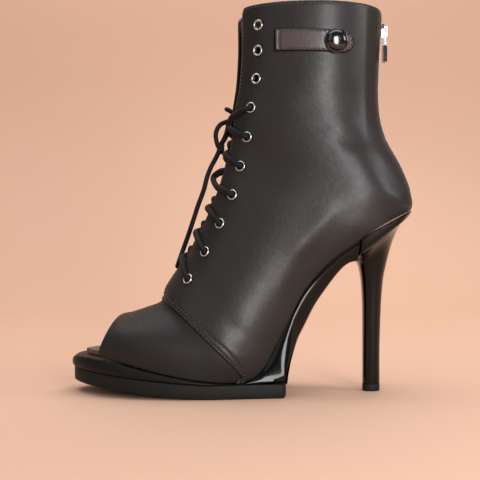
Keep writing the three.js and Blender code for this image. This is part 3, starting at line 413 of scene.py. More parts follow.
# plated metal: nickel on brass or gunmetal on brass, tumbled smooth; faint rub marks vary its gloss
def platedMetal(tree, colour, low, high):
    place = addNode(tree, "ShaderNodeTexCoord").outputs["Object"]
    rubs = addNode(tree, "ShaderNodeTexNoise", {"Scale": 1 / (1.5 * mm), "Detail": 6.0,
                                                "Distortion": 1.5}, {"Vector": place})
    rough = addNode(tree, "ShaderNodeMapRange", {"From Min": 0.3, "From Max": 0.7, "To Min": low,
                                                 "To Max": high}, {"Value": rubs.outputs[0]})
    marks = addNode(tree, "ShaderNodeBump", {"Strength": 0.06, "Distance": 0.1 * mm},
                    {"Height": rubs.outputs[0]})
    return addNode(tree, "ShaderNodeBsdfPrincipled", {"Base Color": toLinear(colour), "Metallic": 1.0},
                     {"Roughness": rough.outputs[0], "Normal": marks.outputs["Normal"]})


# braided cotton lace: sixteen waxed yarns laid both ways round; the real braid repeats each
# 0.8 mm, too fine to show, so it is drawn at 1.5 mm
def braidedCotton(tree):
    place = addNode(tree, "ShaderNodeUVMap", uv_map="braid").outputs[0]
    split = addNode(tree, "ShaderNodeSeparateXYZ", links={0: place})
    around = addNode(tree, "ShaderNodeMath", {1: 3 * math.tau}, {0: split.outputs[0]},
                     operation="MULTIPLY").outputs[0]
    onward = addNode(tree, "ShaderNodeMath", {1: math.tau / (1.5 * mm)}, {0: split.outputs[1]},
                     operation="MULTIPLY").outputs[0]
    yarns = []
    for turn in ("ADD", "SUBTRACT"):
        phase = addNode(tree, "ShaderNodeMath", links={0: onward, 1: around}, operation=turn)
        yarns.append(addNode(tree, "ShaderNodeMath", links={0: phase.outputs[0]},
                             operation="SINE").outputs[0])
    braid = addNode(tree, "ShaderNodeMath", links={0: yarns[0], 1: yarns[1]}, operation="MAXIMUM")
    level = addNode(tree, "ShaderNodeMapRange", {"From Min": -1.0}, {"Value": braid.outputs[0]})
    # the colour follows the yarn height as painted shade: darker in the grooves between the yarns,
    # lighter on their crowns
    tint = addNode(tree, "ShaderNodeMix", {6: toLinear("030303"), 7: toLinear("121010")},
                   {"Factor": level.outputs[0]}, data_type="RGBA")
    relief = addNode(tree, "ShaderNodeBump", {"Strength": 0.6, "Distance": 0.3 * mm},
                    {"Height": level.outputs[0]})
    return addNode(tree, "ShaderNodeBsdfPrincipled",
                     {"Roughness": 0.62, "IOR": 1.5, "Specular IOR Level": 0.2, "Sheen Weight": 0.05,
                      "Sheen Roughness": 0.4},
                     {"Base Color": tint.outputs[2],
                      "Normal": relief.outputs["Normal"]})


# woven polyester tape of the zip: a herringbone twill; its 0.4 mm ribs are drawn at 0.9 mm to show
def twillTape(tree):
    place = addNode(tree, "ShaderNodeTexCoord").outputs["Object"]
    ribs = addNode(tree, "ShaderNodeTexWave", {"Scale": math.tau / 20 / (0.9 * mm), "Distortion": 0.4},
                   {"Vector": place}, wave_type="BANDS", bands_direction="DIAGONAL")
    # the colour follows the rib height as painted shade: darker in the grooves between the ribs, lighter
    # on their crowns
    tint = addNode(tree, "ShaderNodeMix", {6: toLinear("0c0c0d"), 7: toLinear("262527")},
                   {"Factor": ribs.outputs[1]}, data_type="RGBA")
    weave = addNode(tree, "ShaderNodeBump", {"Strength": 0.5, "Distance": 0.15 * mm},
                    {"Height": ribs.outputs[1]})
    return addNode(tree, "ShaderNodeBsdfPrincipled",
                     {"Roughness": 0.75, "Sheen Weight": 0.2, "Sheen Roughness": 0.4},
                     {"Base Color": tint.outputs[2], "Normal": weave.outputs["Normal"]})


# bonded nylon sewing thread, black, drawn grey with lighter ply crowns as a painted highlight; the two
# plies show as a slight twist, with a waxy shine
def bondedThread(tree):
    place = addNode(tree, "ShaderNodeTexCoord").outputs["Object"]
    plies = addNode(tree, "ShaderNodeTexNoise", {"Scale": 1 / (0.5 * mm), "Detail": 2.0},
                    {"Vector": place})
    tint = addNode(tree, "ShaderNodeMix", {6: toLinear("151313"), 7: toLinear("3d3837")},
                   {"Factor": plies.outputs[0]}, data_type="RGBA")
    twist = addNode(tree, "ShaderNodeBump", {"Strength": 0.4, "Distance": 0.1 * mm},
                    {"Height": plies.outputs[0]})
    return addNode(tree, "ShaderNodeBsdfPrincipled", {"Roughness": 0.4, "IOR": 1.53},
                     {"Base Color": tint.outputs[2],
                      "Normal": twist.outputs["Normal"]})


quarterLook = {"deep": "151313", "pale": "211d1c", "cloud": 22, "pore": 0.9, "wrinkle": 2.6,
               "gloss": 0.3, "rough": (0.44, 0.56), "soft": 0.3, "grain": 0.25,
               "coat": 0.2, "coatRough": 0.27}
vampLook = {"deep": "1a1918", "pale": "242221", "cloud": 18, "pore": 0.9, "wrinkle": 2.6,
            "gloss": 0.2, "rough": (0.5, 0.62), "soft": 0.25, "grain": 0.25,
            "coat": 0.06, "coatRough": 0.35}
# near-black calf of the platform wrap: darker than the upper's calf as painted shade of the band that
# lies under the upper's bulge
coverShadeLook = {"deep": "0b0a0a", "pale": "141211", "cloud": 16, "pore": 0.9, "wrinkle": 2.4,
             "gloss": 0.16, "rough": (0.45, 0.58), "soft": 0.25, "grain": 0.2,
             "coat": 0.08, "coatRough": 0.3}
strapLook = {"deep": "3a3034", "pale": "4e4247", "cloud": 9, "pore": 0.8, "wrinkle": 2.0,
             "gloss": 0.35, "rough": (0.36, 0.48), "soft": 0.35, "grain": 0.2,
             "coat": 0.25, "coatRough": 0.24}
calf = newMaterial("calf_leather", calfLeather, quarterLook)
vampCalf = newMaterial("calf_leather_vamp", calfLeather, vampLook)
paintedShadeCalf = newMaterial("calf_leather_painted_shade", calfLeather, coverShadeLook)
strapCalf = newMaterial("calf_leather_strap", calfLeather, strapLook)
patent = newMaterial("patent_wrap", patentWrap)
rubber = newMaterial("moulded_rubber", mouldedRubber)
pigskin = newMaterial("pigskin_lining", pigskinLining)
nickel = newMaterial("nickel_plate", platedMetal, "c9c7c4", 0.12, 0.3)
gunmetal = newMaterial("gunmetal_plate", platedMetal, "4a4b4d", 0.1, 0.2)
cotton = newMaterial("braided_cotton", braidedCotton)
twill = newMaterial("twill_tape", twillTape)
thread = newMaterial("bonded_thread", bondedThread)
print("materials ready")


# mesh helpers
def addGrid(bm, columns, rows, place, uvName=None, uvPlace=None):
    made = bmesh.ops.create_grid(bm, x_segments=columns, y_segments=rows, size=0.5)["verts"]
    spot = {v: (round((v.co.x + 0.5) * columns), round((v.co.y + 0.5) * rows)) for v in made}
    if uvName:
        layer = bm.loops.layers.uv.get(uvName) or bm.loops.layers.uv.new(uvName)
        for face in {face for v in made for face in v.link_faces}:
            for loop in face.loops:
                loop[layer].uv = uvPlace(*spot[loop.vert])
    for vertex, (i, j) in spot.items():
        vertex.co = toWorld(place(i, j))
    return spot


def closeShape(bm, caps=True):
    bmesh.ops.remove_doubles(bm, verts=bm.verts, dist=0.004 * mm)
    if caps:
        edge = [edge for edge in bm.edges if edge.is_boundary]
        bmesh.ops.holes_fill(bm, edges=edge, sides=0)
    bmesh.ops.recalc_face_normals(bm, faces=bm.faces)


def finishPiece(name, bm, materials, nodes=(), sharp=None):
    for face in bm.faces:
        face.smooth = True
    if sharp:
        for edge in bm.edges:
            if len(edge.link_faces) == 2 and edge.calc_face_angle(0) > math.radians(sharp):
                edge.smooth = False
    mesh = bpy.data.meshes.new(name)
    bm.to_mesh(mesh)
    bm.free()
    for material in materials:
        mesh.materials.append(material)
    piece = bpy.data.objects.new(name, mesh)
    scene.collection.objects.link(piece)
    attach(piece, "boot")
    if nodes:
        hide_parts(*nodes)
    return piece


def addWall(piece, thickness, lined=0, group=""):
    solidify = piece.modifiers.new("wall", "SOLIDIFY")
    solidify.thickness = thickness * mm
    solidify.offset = -1
    solidify.material_offset = lined
    solidify.vertex_group = group


def loftPiece(name, rings, material, nodes, sharp=40):
    bm = bmesh.new()
    count = len(rings[0])
    addGrid(bm, count, len(rings) - 1, lambda i, j: rings[j][i % count])
    closeShape(bm)
    return finishPiece(name, bm, [material], nodes, sharp=sharp)


def smoothPath(points, spacing):
    points = [Vector(point) for point in points]
    points = [2 * points[0] - points[1]] + points + [2 * points[-1] - points[-2]]
    path = []
    for a, b, c, d in zip(points, points[1:], points[2:], points[3:]):
        t1 = (b - a).length ** 0.5
        t2 = t1 + (c - b).length ** 0.5
        t3 = t2 + (d - c).length ** 0.5
        steps = max(1, round((c - b).length / spacing))
        for k in range(steps):
            t = t1 + (t2 - t1) * k / steps
            ab = a.lerp(b, t / t1)
            bc = b.lerp(c, (t - t1) / (t2 - t1))
            cd = c.lerp(d, (t - t2) / (t3 - t2))
            abc = ab.lerp(bc, t / t2)
            bcd = bc.lerp(cd, (t - t1) / (t3 - t1))
            path.append(abc.lerp(bcd, (t - t1) / (t2 - t1)))
    return path + [points[-2]]


def addTube(bm, path, radius, sides=12):
    tangents = [(path[min(k + 1, len(path) - 1)] - path[max(k - 1, 0)]).normalized()
                for k in range(len(path))]
    up = tangents[0].orthogonal().normalized()
    rings = []
    run = 0
    for k, (point, tangent) in enumerate(zip(path, tangents)):
        if k:
            run += (point - path[k - 1]).length
            up = (up - tangent * up.dot(tangent)).normalized()
        rings.append([point, up, tangent.cross(up), radius, run])
    for end, step in ((0, -1), (-1, 1)):
        point, up, across, size, run = rings[end]
        tangent = tangents[end]
        for push, share in ((0.6, 0.8), (0.95, 0.35), (1, 0)):
            ring = [point + tangent * step * push * radius, up, across, radius * share,
                    run + step * push * radius]
            rings.insert(0 if end == 0 else len(rings), ring)

    def place(i, j):
        point, up, across, size, run = rings[j]
        angle = i / sides * math.tau
        return point + up * (size * math.cos(angle)) + across * (size * math.sin(angle))

    addGrid(bm, sides, len(rings) - 1, place, "braid", lambda i, j: (i / sides, rings[j][4] * mm))


def addSpun(bm, profile, place, direction, steps=24):
    part = bmesh.new()
    corners = [part.verts.new((radius * mm, 0, height * mm)) for radius, height in profile]
    edges = [part.edges.new(pair) for pair in zip(corners, corners[1:])]
    bmesh.ops.spin(part, geom=corners + edges, axis=(0, 0, 1), cent=(0, 0, 0), angle=math.tau,
                   steps=steps, use_merge=True)
    bmesh.ops.remove_doubles(part, verts=part.verts, dist=0.002 * mm)
    bmesh.ops.recalc_face_normals(part, faces=part.faces)
    turn = Vector((0, 0, 1)).rotation_difference(direction).to_matrix().to_4x4()
    bmesh.ops.transform(part, matrix=Matrix.Translation(toWorld(place)) @ turn, verts=part.verts)
    mesh = bpy.data.meshes.new("part")
    part.to_mesh(mesh)
    part.free()
    bm.from_mesh(mesh)
    bpy.data.meshes.remove(mesh)


# places of the eyelets, a fixed way behind the facing's edge
eyeletSet = {"count": 10, "topInset": 14.5, "run": 165.5, "setback": 10, "spread": 1.08,
             "barrel": 2.4}


def behindEdge(u, side):
    edge = upperPoint(u, side, 1)
    t, point = 1, edge
    while math.hypot(point.x - edge.x, point.z - edge.z) < eyeletSet["setback"]:
        t -= 0.004
        point = upperPoint(u, side, t)
    return u, t, point


def eyeletPlaces(side):
    track = []
    run = 0
    before = behindEdge(last["collar"], side)[2]
    u = last["collar"]
    while u >= last["throat"]:
        place = behindEdge(u, side)
        run += (place[2] - before).length
        track.append((run, place[0], place[1]))
        before = place[2]
        u -= 0.1
    places = []
    for number in range(eyeletSet["count"]):
        share = (number / (eyeletSet["count"] - 1)) ** eyeletSet["spread"]
        target = eyeletSet["topInset"] + share * eyeletSet["run"]
        k = next(index for index, entry in enumerate(track) if entry[0] >= target)
        part = (target - track[k - 1][0]) / (track[k][0] - track[k - 1][0])
        places.append([mix(track[k - 1][column], track[k][column], part) for column in (1, 2)])
    return places


eyeletAt = {-1: eyeletPlaces(-1), 1: eyeletPlaces(1)}

# the lace: crossings between the facings, then the knot with its free ends
lace = {"radius": 1.5, "dip": 0.5, "firstLaced": 3, "loose": 3, "rise": -1.8,
        "looseRise": 4.4, "climbs": (0.34, 0.6, 0.22, 0.36, 0.4, 0.5),
        "pressed": 1.75, "leadDrop": -0.5, "knot": (-13.6, 0, 152.8)}
knot = Vector(lace["knot"])


def strandStart(side, number, climb):
    u, t = eyeletAt[side][number]
    normal = upperNormal(u, side, t)
    hole = upperPoint(u, side, t)
    return [hole - normal * 2.4, hole + normal * 0.4,
            upperPoint(u + 0.3 * climb, side, mix(t, 1, 0.3), 1.9),
            upperPoint(u + 0.65 * climb, side, mix(t, 1, 0.65), 1.75),
            upperPoint(u + climb, side, 1, 1.5)]


def strandEnd(side, number, climb, lift):
    u = eyeletAt[side][number][0] + climb
    edge = upperPoint(u, side, 1, lift)
    under = upperPoint(u - 0.1, side, 0.93, -3.4)
    edge.y -= side * (lace["radius"] + 0.2)
    return [edge, under]


def besideKnot(x, y, z):
    return knot + Vector((x, y, z)).normalized() * 2


def cordPiece(name, path, node, exitPoint):
    bm = bmesh.new()
    addTube(bm, path, lace["radius"])
    closeShape(bm, caps=False)
    piece = finishPiece(name, bm, [cotton], [node])
    tuple(toWorld(exitPoint))
    [tuple(toWorld(point)) for point in path]
    return piece


knotTurns = []
for k in range(41):
    angle = k / 40 * 2.3 * math.tau
    knotTurns.append(knot + Vector((1.25 * math.cos(angle), 1.5 * math.sin(angle),
                                    mix(-2.4, 2.4, k / 40))))
bm = bmesh.new()
addTube(bm, knotTurns, 1.35)
closeShape(bm, caps=False)
knotPiece = finishPiece("laceKnot", bm, [cotton], ["lace_knot"])

leadHalf = {side: strandStart(side, lace["firstLaced"], lace["leadDrop"])
            + [Vector((-10.2, side * 4.2, 161))] for side in (-1, 1)}
leadTop = Vector((knot.x + 0.3, 0, knot.z + 2.6))
leadPath = smoothPath(leadHalf[-1] + [leadTop] + leadHalf[1][::-1], 1.2)
cordPiece("laceLead", leadPath, "lace_lead", leadPath[0])
curlPoints = [
    (-16.4, -1.4, 158.6), (-16.6, -1.2, 161.8), (-15.6, -0.8, 165.4), (-13.2, -0.4, 168.4),
    (-10.4, 0, 169.6), (-7.8, 0, 170.8), (-5.8, 0.6, 172.8), (-5.8, 1.4, 175.2), (-7.6, 2.4, 177),
    (-9.8, 3, 178.2),
]
curlStart = besideKnot(-0.72, -0.35, 0.6) + Vector((-0.3, -0.2, 0.4))
curlPath = smoothPath([curlStart] + curlPoints, 1.2)
cordPiece("laceCurl", curlPath, "lace_curl", curlPath[0])
endPoints = [
    (-17, -0.6, 146), (-19.4, -1, 141.6), (-22, -1.4, 135), (-24.2, -1.4, 126.6),
    (-27.7, -0.6, 117.2), (-30.6, 0, 108.4), (-33.4, 0.4, 100), (-36, 0.8, 92.6),
    (-38.6, 1, 85.4), (-41, 0.8, 78.4),
]
endPath = smoothPath([besideKnot(-0.5, 0, -0.87)] + endPoints, 1.5)
cordPiece("laceEnd", endPath, "lace_end", endPath[0])

for number in range(lace["firstLaced"], eyeletSet["count"] - 1):
    crossing = number - lace["firstLaced"] + 1
    rise = lace["looseRise"] if crossing == lace["loose"] else lace["rise"]
    bm = bmesh.new()
    for side in (-1, 1):
        climb = lace["climbs"][crossing - 1]
        start = strandStart(side, number + 1, climb)
        level = eyeletAt[side][number + 1][0] + climb + 0.12 - eyeletAt[side][number][0]
        end = strandEnd(-side, number, max(-lace["dip"], level), -0.4)
        forward = upperNormal(eyeletAt[-1][number][0], -1, 1)
        forward.y = 0
        middle = start[-1].lerp(end[0], 0.5) + forward.normalized() * (rise + 0.25 * side)
        addTube(bm, smoothPath(start + [middle] + end, 1.0), lace["pressed"])
    closeShape(bm, caps=False)
    finishPiece(f"laceCrossing{crossing}", bm, [cotton],
                [f"lace_crossing_{crossing}"])

barEnds = [strandEnd(side, eyeletSet["count"] - 1, 0, -lace["radius"]) for side in (-1, 1)]
bm = bmesh.new()
addTube(bm, smoothPath(barEnds[0][::-1] + barEnds[1], 1.0), lace["radius"])
closeShape(bm, caps=False)
finishPiece("laceBar", bm, [cotton], ["lace_bar"])
print("laces ready")

# upper: two halves from the toe opening to the collar, joined down the vamp and the back
upperSet = {"wall": 2.2, "lap": 1.1, "roll": 1.2, "troughHalf": 3.3, "troughDepth": 1.1,
            "zipLow": 1.1, "peepBow": 3 / 11, "sewn": 0.3, "vampRows": 30, "quarterRows": 165}
columnShares = [0, 0.012, 0.022, 0.030, 0.037, 0.044, 0.054, 0.07, 0.09, 0.115, 0.145, 0.18, 0.215,
                0.25, 0.285, 0.32, 0.355, 0.39, 0.425, 0.46, 0.495, 0.53, 0.565, 0.6, 0.63, 0.66,
                0.69, 0.715, 0.735, 0.752, 0.768, 0.784, 0.8, 0.816, 0.832, 0.848, 0.864, 0.88, 0.9, 0.92,
                0.938, 0.954, 0.967, 0.978, 0.987, 0.994, 1]

# soft folds of the leather seen from the side: ends, bow, half width and height
folds = [
    (76.4, 233.7, 75.1, 161.3, 0.0, 2.6, 0.55),
    (80.0, 232.4, 79.4, 163.7, 0.0, 2.2, -0.50),
    (35.9, 176.0, 67.8, 183.3, 1.5, 7.0, -0.45),
    (35.9, 193.2, 63.5, 198.1, -2.0, 8.0, 0.40),
    (46.9, 163.7, 73.9, 152.7, 2.0, 5.5, -0.50),
    (49.4, 156.3, 67.8, 167.4, 0.0, 5.0, 0.45),
    (70.2, 150.2, 88.6, 122.0, 3.0, 5.0, 0.40),
    (87.4, 139.2, 96.0, 125.7, 0.0, 4.5, -0.40),
    (33.4, 88.9, 54.3, 117.1, 1.5, 5.0, 0.55),
    (21.1, 63.1, 35.9, 91.3, -1.0, 5.0, 0.45),
    (38.3, 81.5, 66.5, 114.6, 2.5, 6.0, -0.45),
    (-14.4, 36.1, 2.7, 23.8, 1.0, 4.0, 0.45),
    (-9.5, 47.1, 12.5, 31.2, 1.5, 5.0, -0.40),
    (4.0, 150.2, 35.9, 139.2, 3.0, 8.0, -0.30),
    (12.5, 113.4, 39.5, 134.3, -2.0, 8.0, 0.30),
]


def foldLift(x, z):
    total = 0
    for x1, z1, x2, z2, bow, width, height in folds:
        alongX, alongZ = x2 - x1, z2 - z1
        length = math.hypot(alongX, alongZ)
        share = ((x - x1) * alongX + (z - z1) * alongZ) / length ** 2
        if -0.25 < share < 1.25:
            across = ((x - x1) * alongZ - (z - z1) * alongX) / length
            across -= bow * 4 * share * (1 - share)
            fade = ease((share + 0.25) / 0.45) * ease((1.25 - share) / 0.45)
            total += height * fade * math.exp(-(across / width) ** 2)
    return total


def rolled(distance, radius):
    return radius * (1 - math.sqrt(1 - clamp(1 - distance / radius) ** 2))


def seamSection(t):
    return 4 + 0.6 * math.sin(math.pi * clamp(t)) ** 0.8


def peepSection(t):
    return last["peep"] - upperSet["peepBow"] * math.sin(math.pi * clamp(t)) ** 0.8


def perSection(u, side, t):
    return (upperPoint(u + 0.02, side, t) - upperPoint(u - 0.02, side, t)).length / 0.04


troughLow = riseHeight(upperSet["zipLow"]) - 1


def upperColumn(side, t):
    peep, seam = peepSection(t), seamSection(t)
    peepRate, seamRate = perSection(peep, side, t), perSection(seam, side, t)
    collarRate = perSection(last["collar"] - 0.1, side, t)
    rows = [(peep + d / peepRate, -upperSet["lap"] - rolled(d, 0.9), 0) for d in (0, 0.2, 0.5, 0.9)]
    start = rows[-1][0]
    for i in range(1, upperSet["vampRows"] + 1):
        rows.append((mix(start, seam, i / upperSet["vampRows"]), -upperSet["lap"], 0))
    for d in (0.12, 0.35, 0.6, 0.85, 1.1, 1.35, 1.65, 2, 2.4, 2.8, 3.1, 3.35, 3.6, 3.9, 4.3, 4.8):
        sewn = math.exp(-((d - 1.25) / 0.35) ** 2) + math.exp(-((d - 3.4) / 0.4) ** 2)
        rows.append((seam + d / seamRate, -rolled(d, upperSet["lap"]) - upperSet["sewn"] * sewn, 1))
    start = rows[-1][0]
    top = last["collar"] - 1.2 / collarRate
    for i in range(1, upperSet["quarterRows"] + 1):
        rows.append((mix(start, top, (i / upperSet["quarterRows"]) ** 1.2), 0, 1))
    rows += [(last["collar"] - d / collarRate, -rolled(d, upperSet["roll"]), 1)
             for d in (0.7, 0.3, 0)]
    rows += [(last["collar"], -lift, 1) for lift in (1.6, 2.1)]
    column = []
    for u, lift, quarter in rows:
        point = upperPoint(u, side, t)
        if u > last["throat"] + 0.05 and t > 0.9:
            width = (upperPoint(u, side, 1) - point).length
            lift -= rolled(width, upperSet["roll"]) * ease((u - last["throat"]) / 0.4)
            lift -= 0.2 * math.exp(-((width - 2) / 0.5) ** 2)
        if u > last["seat"] + 0.6 and abs(point.y) < 5 and point.x > 60:
            deep = 1 - ease((abs(point.y) - upperSet["troughHalf"]) / 0.8)
            lift -= upperSet["troughDepth"] * deep * ease((point.z - troughLow + 1) / 2)
        lift += foldLift(point.x, point.z) * (1 if side < 0 else 0.8)
        column.append((upperPoint(u, side, t, lift), quarter))
    return column


bm = bmesh.new()
thickness = bm.verts.layers.deform.new()
for side in (-1, 1):
    columnsOfSide = [upperColumn(side, t) for t in columnShares]
    spots = addGrid(bm, len(columnShares) - 1, len(columnsOfSide[0]) - 1,
                    lambda i, j: columnsOfSide[i][j][0])
    for vertex, (i, j) in spots.items():
        vertex[thickness][0] = 1 if columnsOfSide[i][j][1] else 0.5
bmesh.ops.remove_doubles(bm, verts=bm.verts, dist=0.01 * mm)
bmesh.ops.recalc_face_normals(bm, faces=bm.faces)
holes = []
for side in (-1, 1):
    for u, t in eyeletAt[side]:
        centre = toWorld(upperPoint(u, side, t))
        holes += [face for face in bm.faces
                  if (face.calc_center_median() - centre).length < eyeletSet["barrel"] * mm]
bmesh.ops.delete(bm, geom=list(set(holes)), context="FACES")
for face in bm.faces:
    if all(vertex[thickness][0] < 1 for vertex in face.verts):
        face.material_index = 2
upper = finishPiece("upperLeather", bm, [calf, pigskin, vampCalf, pigskin], ["upper"])
upper.vertex_groups.new(name="wall")
addWall(upper, upperSet["wall"], lined=1, group="wall")
print("upper ready")

# tongue: a strip under the facings, laid flat across its middle
tongueSet = {"depth": 3.4, "thickness": 1.6, "halfWidth": 23, "drop": 5, "flat": 1.0,
             "back": 2.2, "rows": 60, "columns": 14}


def tongueColumn(side, i):
    u = mix(4.5, last["collar"] - tongueSet["drop"] / 16, i / tongueSet["rows"])
    section = lastSection(u)
    half = section[4] if side < 0 else section[5]
    reach = tongueSet["halfWidth"] * mix(0.72, 1, ease(i / tongueSet["rows"] * 11 / 5))
    outer = 0.5 + math.acos((reach / half) ** (section[7] / 2)) / math.pi
    chord = (lastPoint(u, -1, edgeShare(u, -1)) + lastPoint(u, 1, edgeShare(u, 1))) * 0.5
    forward = lastPoint(u, side, 1) - chord
    forward.y = 0
    forward.normalize()
    row = []
    for j in range(tongueSet["columns"] + 1):
        a = mix(outer, 1, j / tongueSet["columns"])
        proud = max(0, (lastPoint(u, side, a) - chord).dot(forward))
        lift = -tongueSet["depth"] - rolled((1 - i / tongueSet["rows"]) * 170, 1)
        point = lastPoint(u, side, a) + lastNormal(u, side, a) * lift
        back = tongueSet["back"] * ease(i / tongueSet["rows"] / 0.5)
        row.append(point - forward * (tongueSet["flat"] * proud + back))
    return row


bm = bmesh.new()
for side in (-1, 1):
    tongueRows = [tongueColumn(side, i) for i in range(tongueSet["rows"] + 1)]
    addGrid(bm, tongueSet["columns"], tongueSet["rows"], lambda i, j: tongueRows[j][i])
closeShape(bm, caps=False)
tongue = finishPiece("tongueLeather", bm, [calf, pigskin], ["tongue"])
addWall(tongue, tongueSet["thickness"], lined=1)
print("tongue ready")


# sole unit
def stations(start, stop, count, power=1):
    return [mix(start, stop, (i / count) ** power) for i in range(count + 1)]


def footNormal(along):
    rise = (footHeight(along + 0.002) - footHeight(along - 0.002)) / (0.004 * last["length"])
    return Vector((-rise, 0, 1)).normalized()


def footPoint(along, y, lift):
    return Vector((lengthwise(along), y, footHeight(along))) + footNormal(along) * lift


coverSet = {"nose": 4, "profile": [(3.4, 1), (2.2, 0.97), (1.4, 0.93), (0.8, 0.85), (0.45, 0.74),
                                   (0.15, 0.6), (0, 0.42), (0.03, 0.3), (0.12, 0.18), (0.5, 0.06),
                                   (1.2, 0)]}


def coverRing(along):
    fromNose = along * last["length"] / coverSet["nose"]
    swell = math.sqrt(1 - (1 - fromNose) ** 2) if fromNose < 1 else 1
    bottom = soleBottom(along) + last["outsole"] + 0.3
    top = footHeight(along) - 0.3
    middle = mix(bottom, top, 0.36)

    def half(sign):
        points = []
        for inset, level in coverSet["profile"]:
            reach = max(outlineHalf(sign, along) - inset, 0.4 + 0.2 * level)
            height = middle + (mix(bottom, top, level) - middle) * swell
            points.append(Vector((lengthwise(along), axisShift(along) + sign * reach, height)))
        return points

    return half(-1) + half(1)[::-1]


coverEnd = 0.512 - 0.3 / last["length"]
loftPiece("platformCover", [coverRing(along) for along in
                            stations(0.0006, 0.1, 22, 1.8) + stations(0.106, coverEnd, 50)],
          paintedShadeCalf, ["platform_cover"], sharp=50)

outsoleEnd = 0.6225


def outsoleRing(along):
    bottom = soleBottom(along)
    top = bottom + last["outsole"]
    rear = max(0, 1 - (outsoleEnd - along) / 0.012)
    lift = 2.2 * (1 - math.sqrt(1 - rear ** 2))
    chamfer = 1 + lift

    def half(sign):
        reach = outlineHalf(sign, along, 1.3, 1) - 0.6 - 5 * (1 - math.sqrt(1 - rear ** 2))
        rows = [(0.5, top), (0.12, top - 0.25), (0, top - 0.8),
                (0, mix(bottom + chamfer, top, 0.5)), (0, bottom + chamfer),
                (0.3 * chamfer, bottom + 0.45 * chamfer + 0.2 * lift),
                (chamfer, bottom + 0.6 * lift)]
        return [Vector((lengthwise(along), axisShift(along) + sign * (reach - inset), height))
                for inset, height in rows]

    return half(-1) + half(1)[::-1]


loftPiece("outsoleRubber", [outsoleRing(along) for along in
                            stations(1.6 / last["length"], 0.1, 20, 1.8) + stations(0.106, 0.6, 44)
                            + stations(0.604, outsoleEnd - 0.0002, 12, 0.6)],
          rubber, ["outsole"], sharp=50)

# footbed place, rear edge place and rise of the waist's rear edge
waistRows = [(0.512, 0.512, -0.02), (0.530, 0.535, -0.02), (0.545, 0.560, -0.02),
             (0.562, 0.592, -0.02), (0.581, 0.6215, -0.02), (0.600, 0.6290, 0.045),
             (0.622, 0.6385, 0.128), (0.645, 0.657, 0.235), (0.668, 0.680, 0.330),
             (0.700, 0.706, 0.434), (0.738, 0.740, 0.538), (0.780, 0.778, 0.640),
             (0.806, 0.802, 0.682), (0.8296, 0.8275, 0.698)]
waistProfile = [(0.8, 0), (0.1, 0.12), (0.12, 0.3), (0.3, 0.5), (0.65, 0.7), (1.2, 0.86),
                (2.4, 0.95), (4.5, 1)]


def waistRing(along, index):
    rearAlong = smoothAt(waistRows, 1, along)
    rise = smoothAt(waistRows, 2, along)
    floorLevel = last["outsole"] + 0.3
    rear = Vector((lengthwise(rearAlong), 0, max(floorLevel, riseHeight(rise))))
    top = Vector((lengthwise(along), 0, footHeight(along))) - footNormal(along) * 0.35
    if index == 0:
        top.z = floorLevel + 0.5
    onSole = clamp(1 - max(rise, 0) / 0.25)

    def half(sign):
        points = []
        for inset, level in waistProfile:
            wide = outlineHalf(sign, along)
            low = mix(wide - 2.2, outlineHalf(sign, rearAlong, 0, 1) - 1, onSole)
            reach = mix(wide, low, level) - (mix(3.5, 0, onSole) if level == 1 else inset)
            point = top.lerp(rear, level)
            point.y = axisShift(along) + sign * reach
            points.append(point)
        return points

    return half(-1)[::-1] + half(1)


loftPiece("waistWrap", [waistRing(along, i) for i, along in
                        enumerate(stations(0.512, 0.8296, 60))],
          patent, ["waist"], sharp=45)

# heel levels: front place and rise, rear place and rise, half width, squareness of the front
heelSet = {"breast": 0.831, "back": 0.994, "tipWidth": 11, "tipLength": 10.8, "tipSquare": 0.4,
           "lift": 4.4, "clearance": 0.3, "widest": 0.336, "sides": 22}
tipRear = last["tipFront"] + heelSet["tipLength"] / last["length"]
heelRows = [
    (0, 0.831, 0.802, 0.994, 0.9965, 1, 0.9), (1, 0.831, 0.760, 0.990, 0.978, 0.97, 0.85),
    (2, 0.8315, 0.722, 0.972, 0.948, 0.86, 0.75), (3, 0.834, 0.690, 0.956, 0.892, 0.66, 0.6),
    (4, 0.839, 0.672, 0.941, 0.818, 0.51, 0.5), (5, 0.8435, 0.640, 0.9305, 0.745, 0.415, 0.45),
    (6, 0.8475, 0.590, 0.9220, 0.672, 0.36, 0.4), (7, 0.8505, 0.520, 0.9145, 0.600, 0.315, 0.4),
    (8, 0.8525, 0.420, 0.9090, 0.490, 0.275, 0.4), (9, 0.853, 0.300, 0.9055, 0.345, 0.245, 0.4),
    (10, 0.853, 0.150, tipRear, 0.160, 0.218, 0.4), (11, 0.853, -0.04, tipRear, -0.04, 0.2046, 0.4),
]


def heelRing(front, rear, half, square):
    points = []
    for i in range(heelSet["sides"] + 1):
        angle = math.pi * i / heelSet["sides"]
        along = (1 - math.cos(angle)) / 2
        blunt = 2 + (3 * square + 14 * max(square - 0.7, 0) / 0.2) * (1 - along) ** 2
        inside = 0 < i < heelSet["sides"]
        width = (1 - abs(math.cos(angle)) ** blunt) ** (1 / blunt) if inside else 0
        points.append((along, width))
    lateral = [front.lerp(rear, along) - Vector((0, width * half, 0)) for along, width in points]
    medial = [front.lerp(rear, along) + Vector((0, width * half, 0))
              for along, width in points[1:-1]]
    return lateral + medial[::-1]


def heelLevel(level):
    frontAlong, frontRise, rearAlong, rearRise, share, square = [
        smoothAt(heelRows, column, level) for column in range(1, 7)]
    front = Vector((lengthwise(frontAlong), 0, riseHeight(frontRise)))
    rear = Vector((lengthwise(rearAlong), 0, riseHeight(rearRise)))
    if level < 1:
        front = footPoint(heelSet["breast"], 0, -heelSet["clearance"]).lerp(front, level)
        rear = footPoint(heelSet["back"], 0, -heelSet["clearance"]).lerp(rear, level)
    bottom = heelSet["lift"] + heelSet["clearance"]
    front.z, rear.z = max(front.z, bottom), max(rear.z, bottom)
    half = max(share * heelSet["widest"] * last["ballWidth"], heelSet["tipWidth"] / 2)
    return heelRing(front, rear, half - rolled(level * 9, 1.1), square)


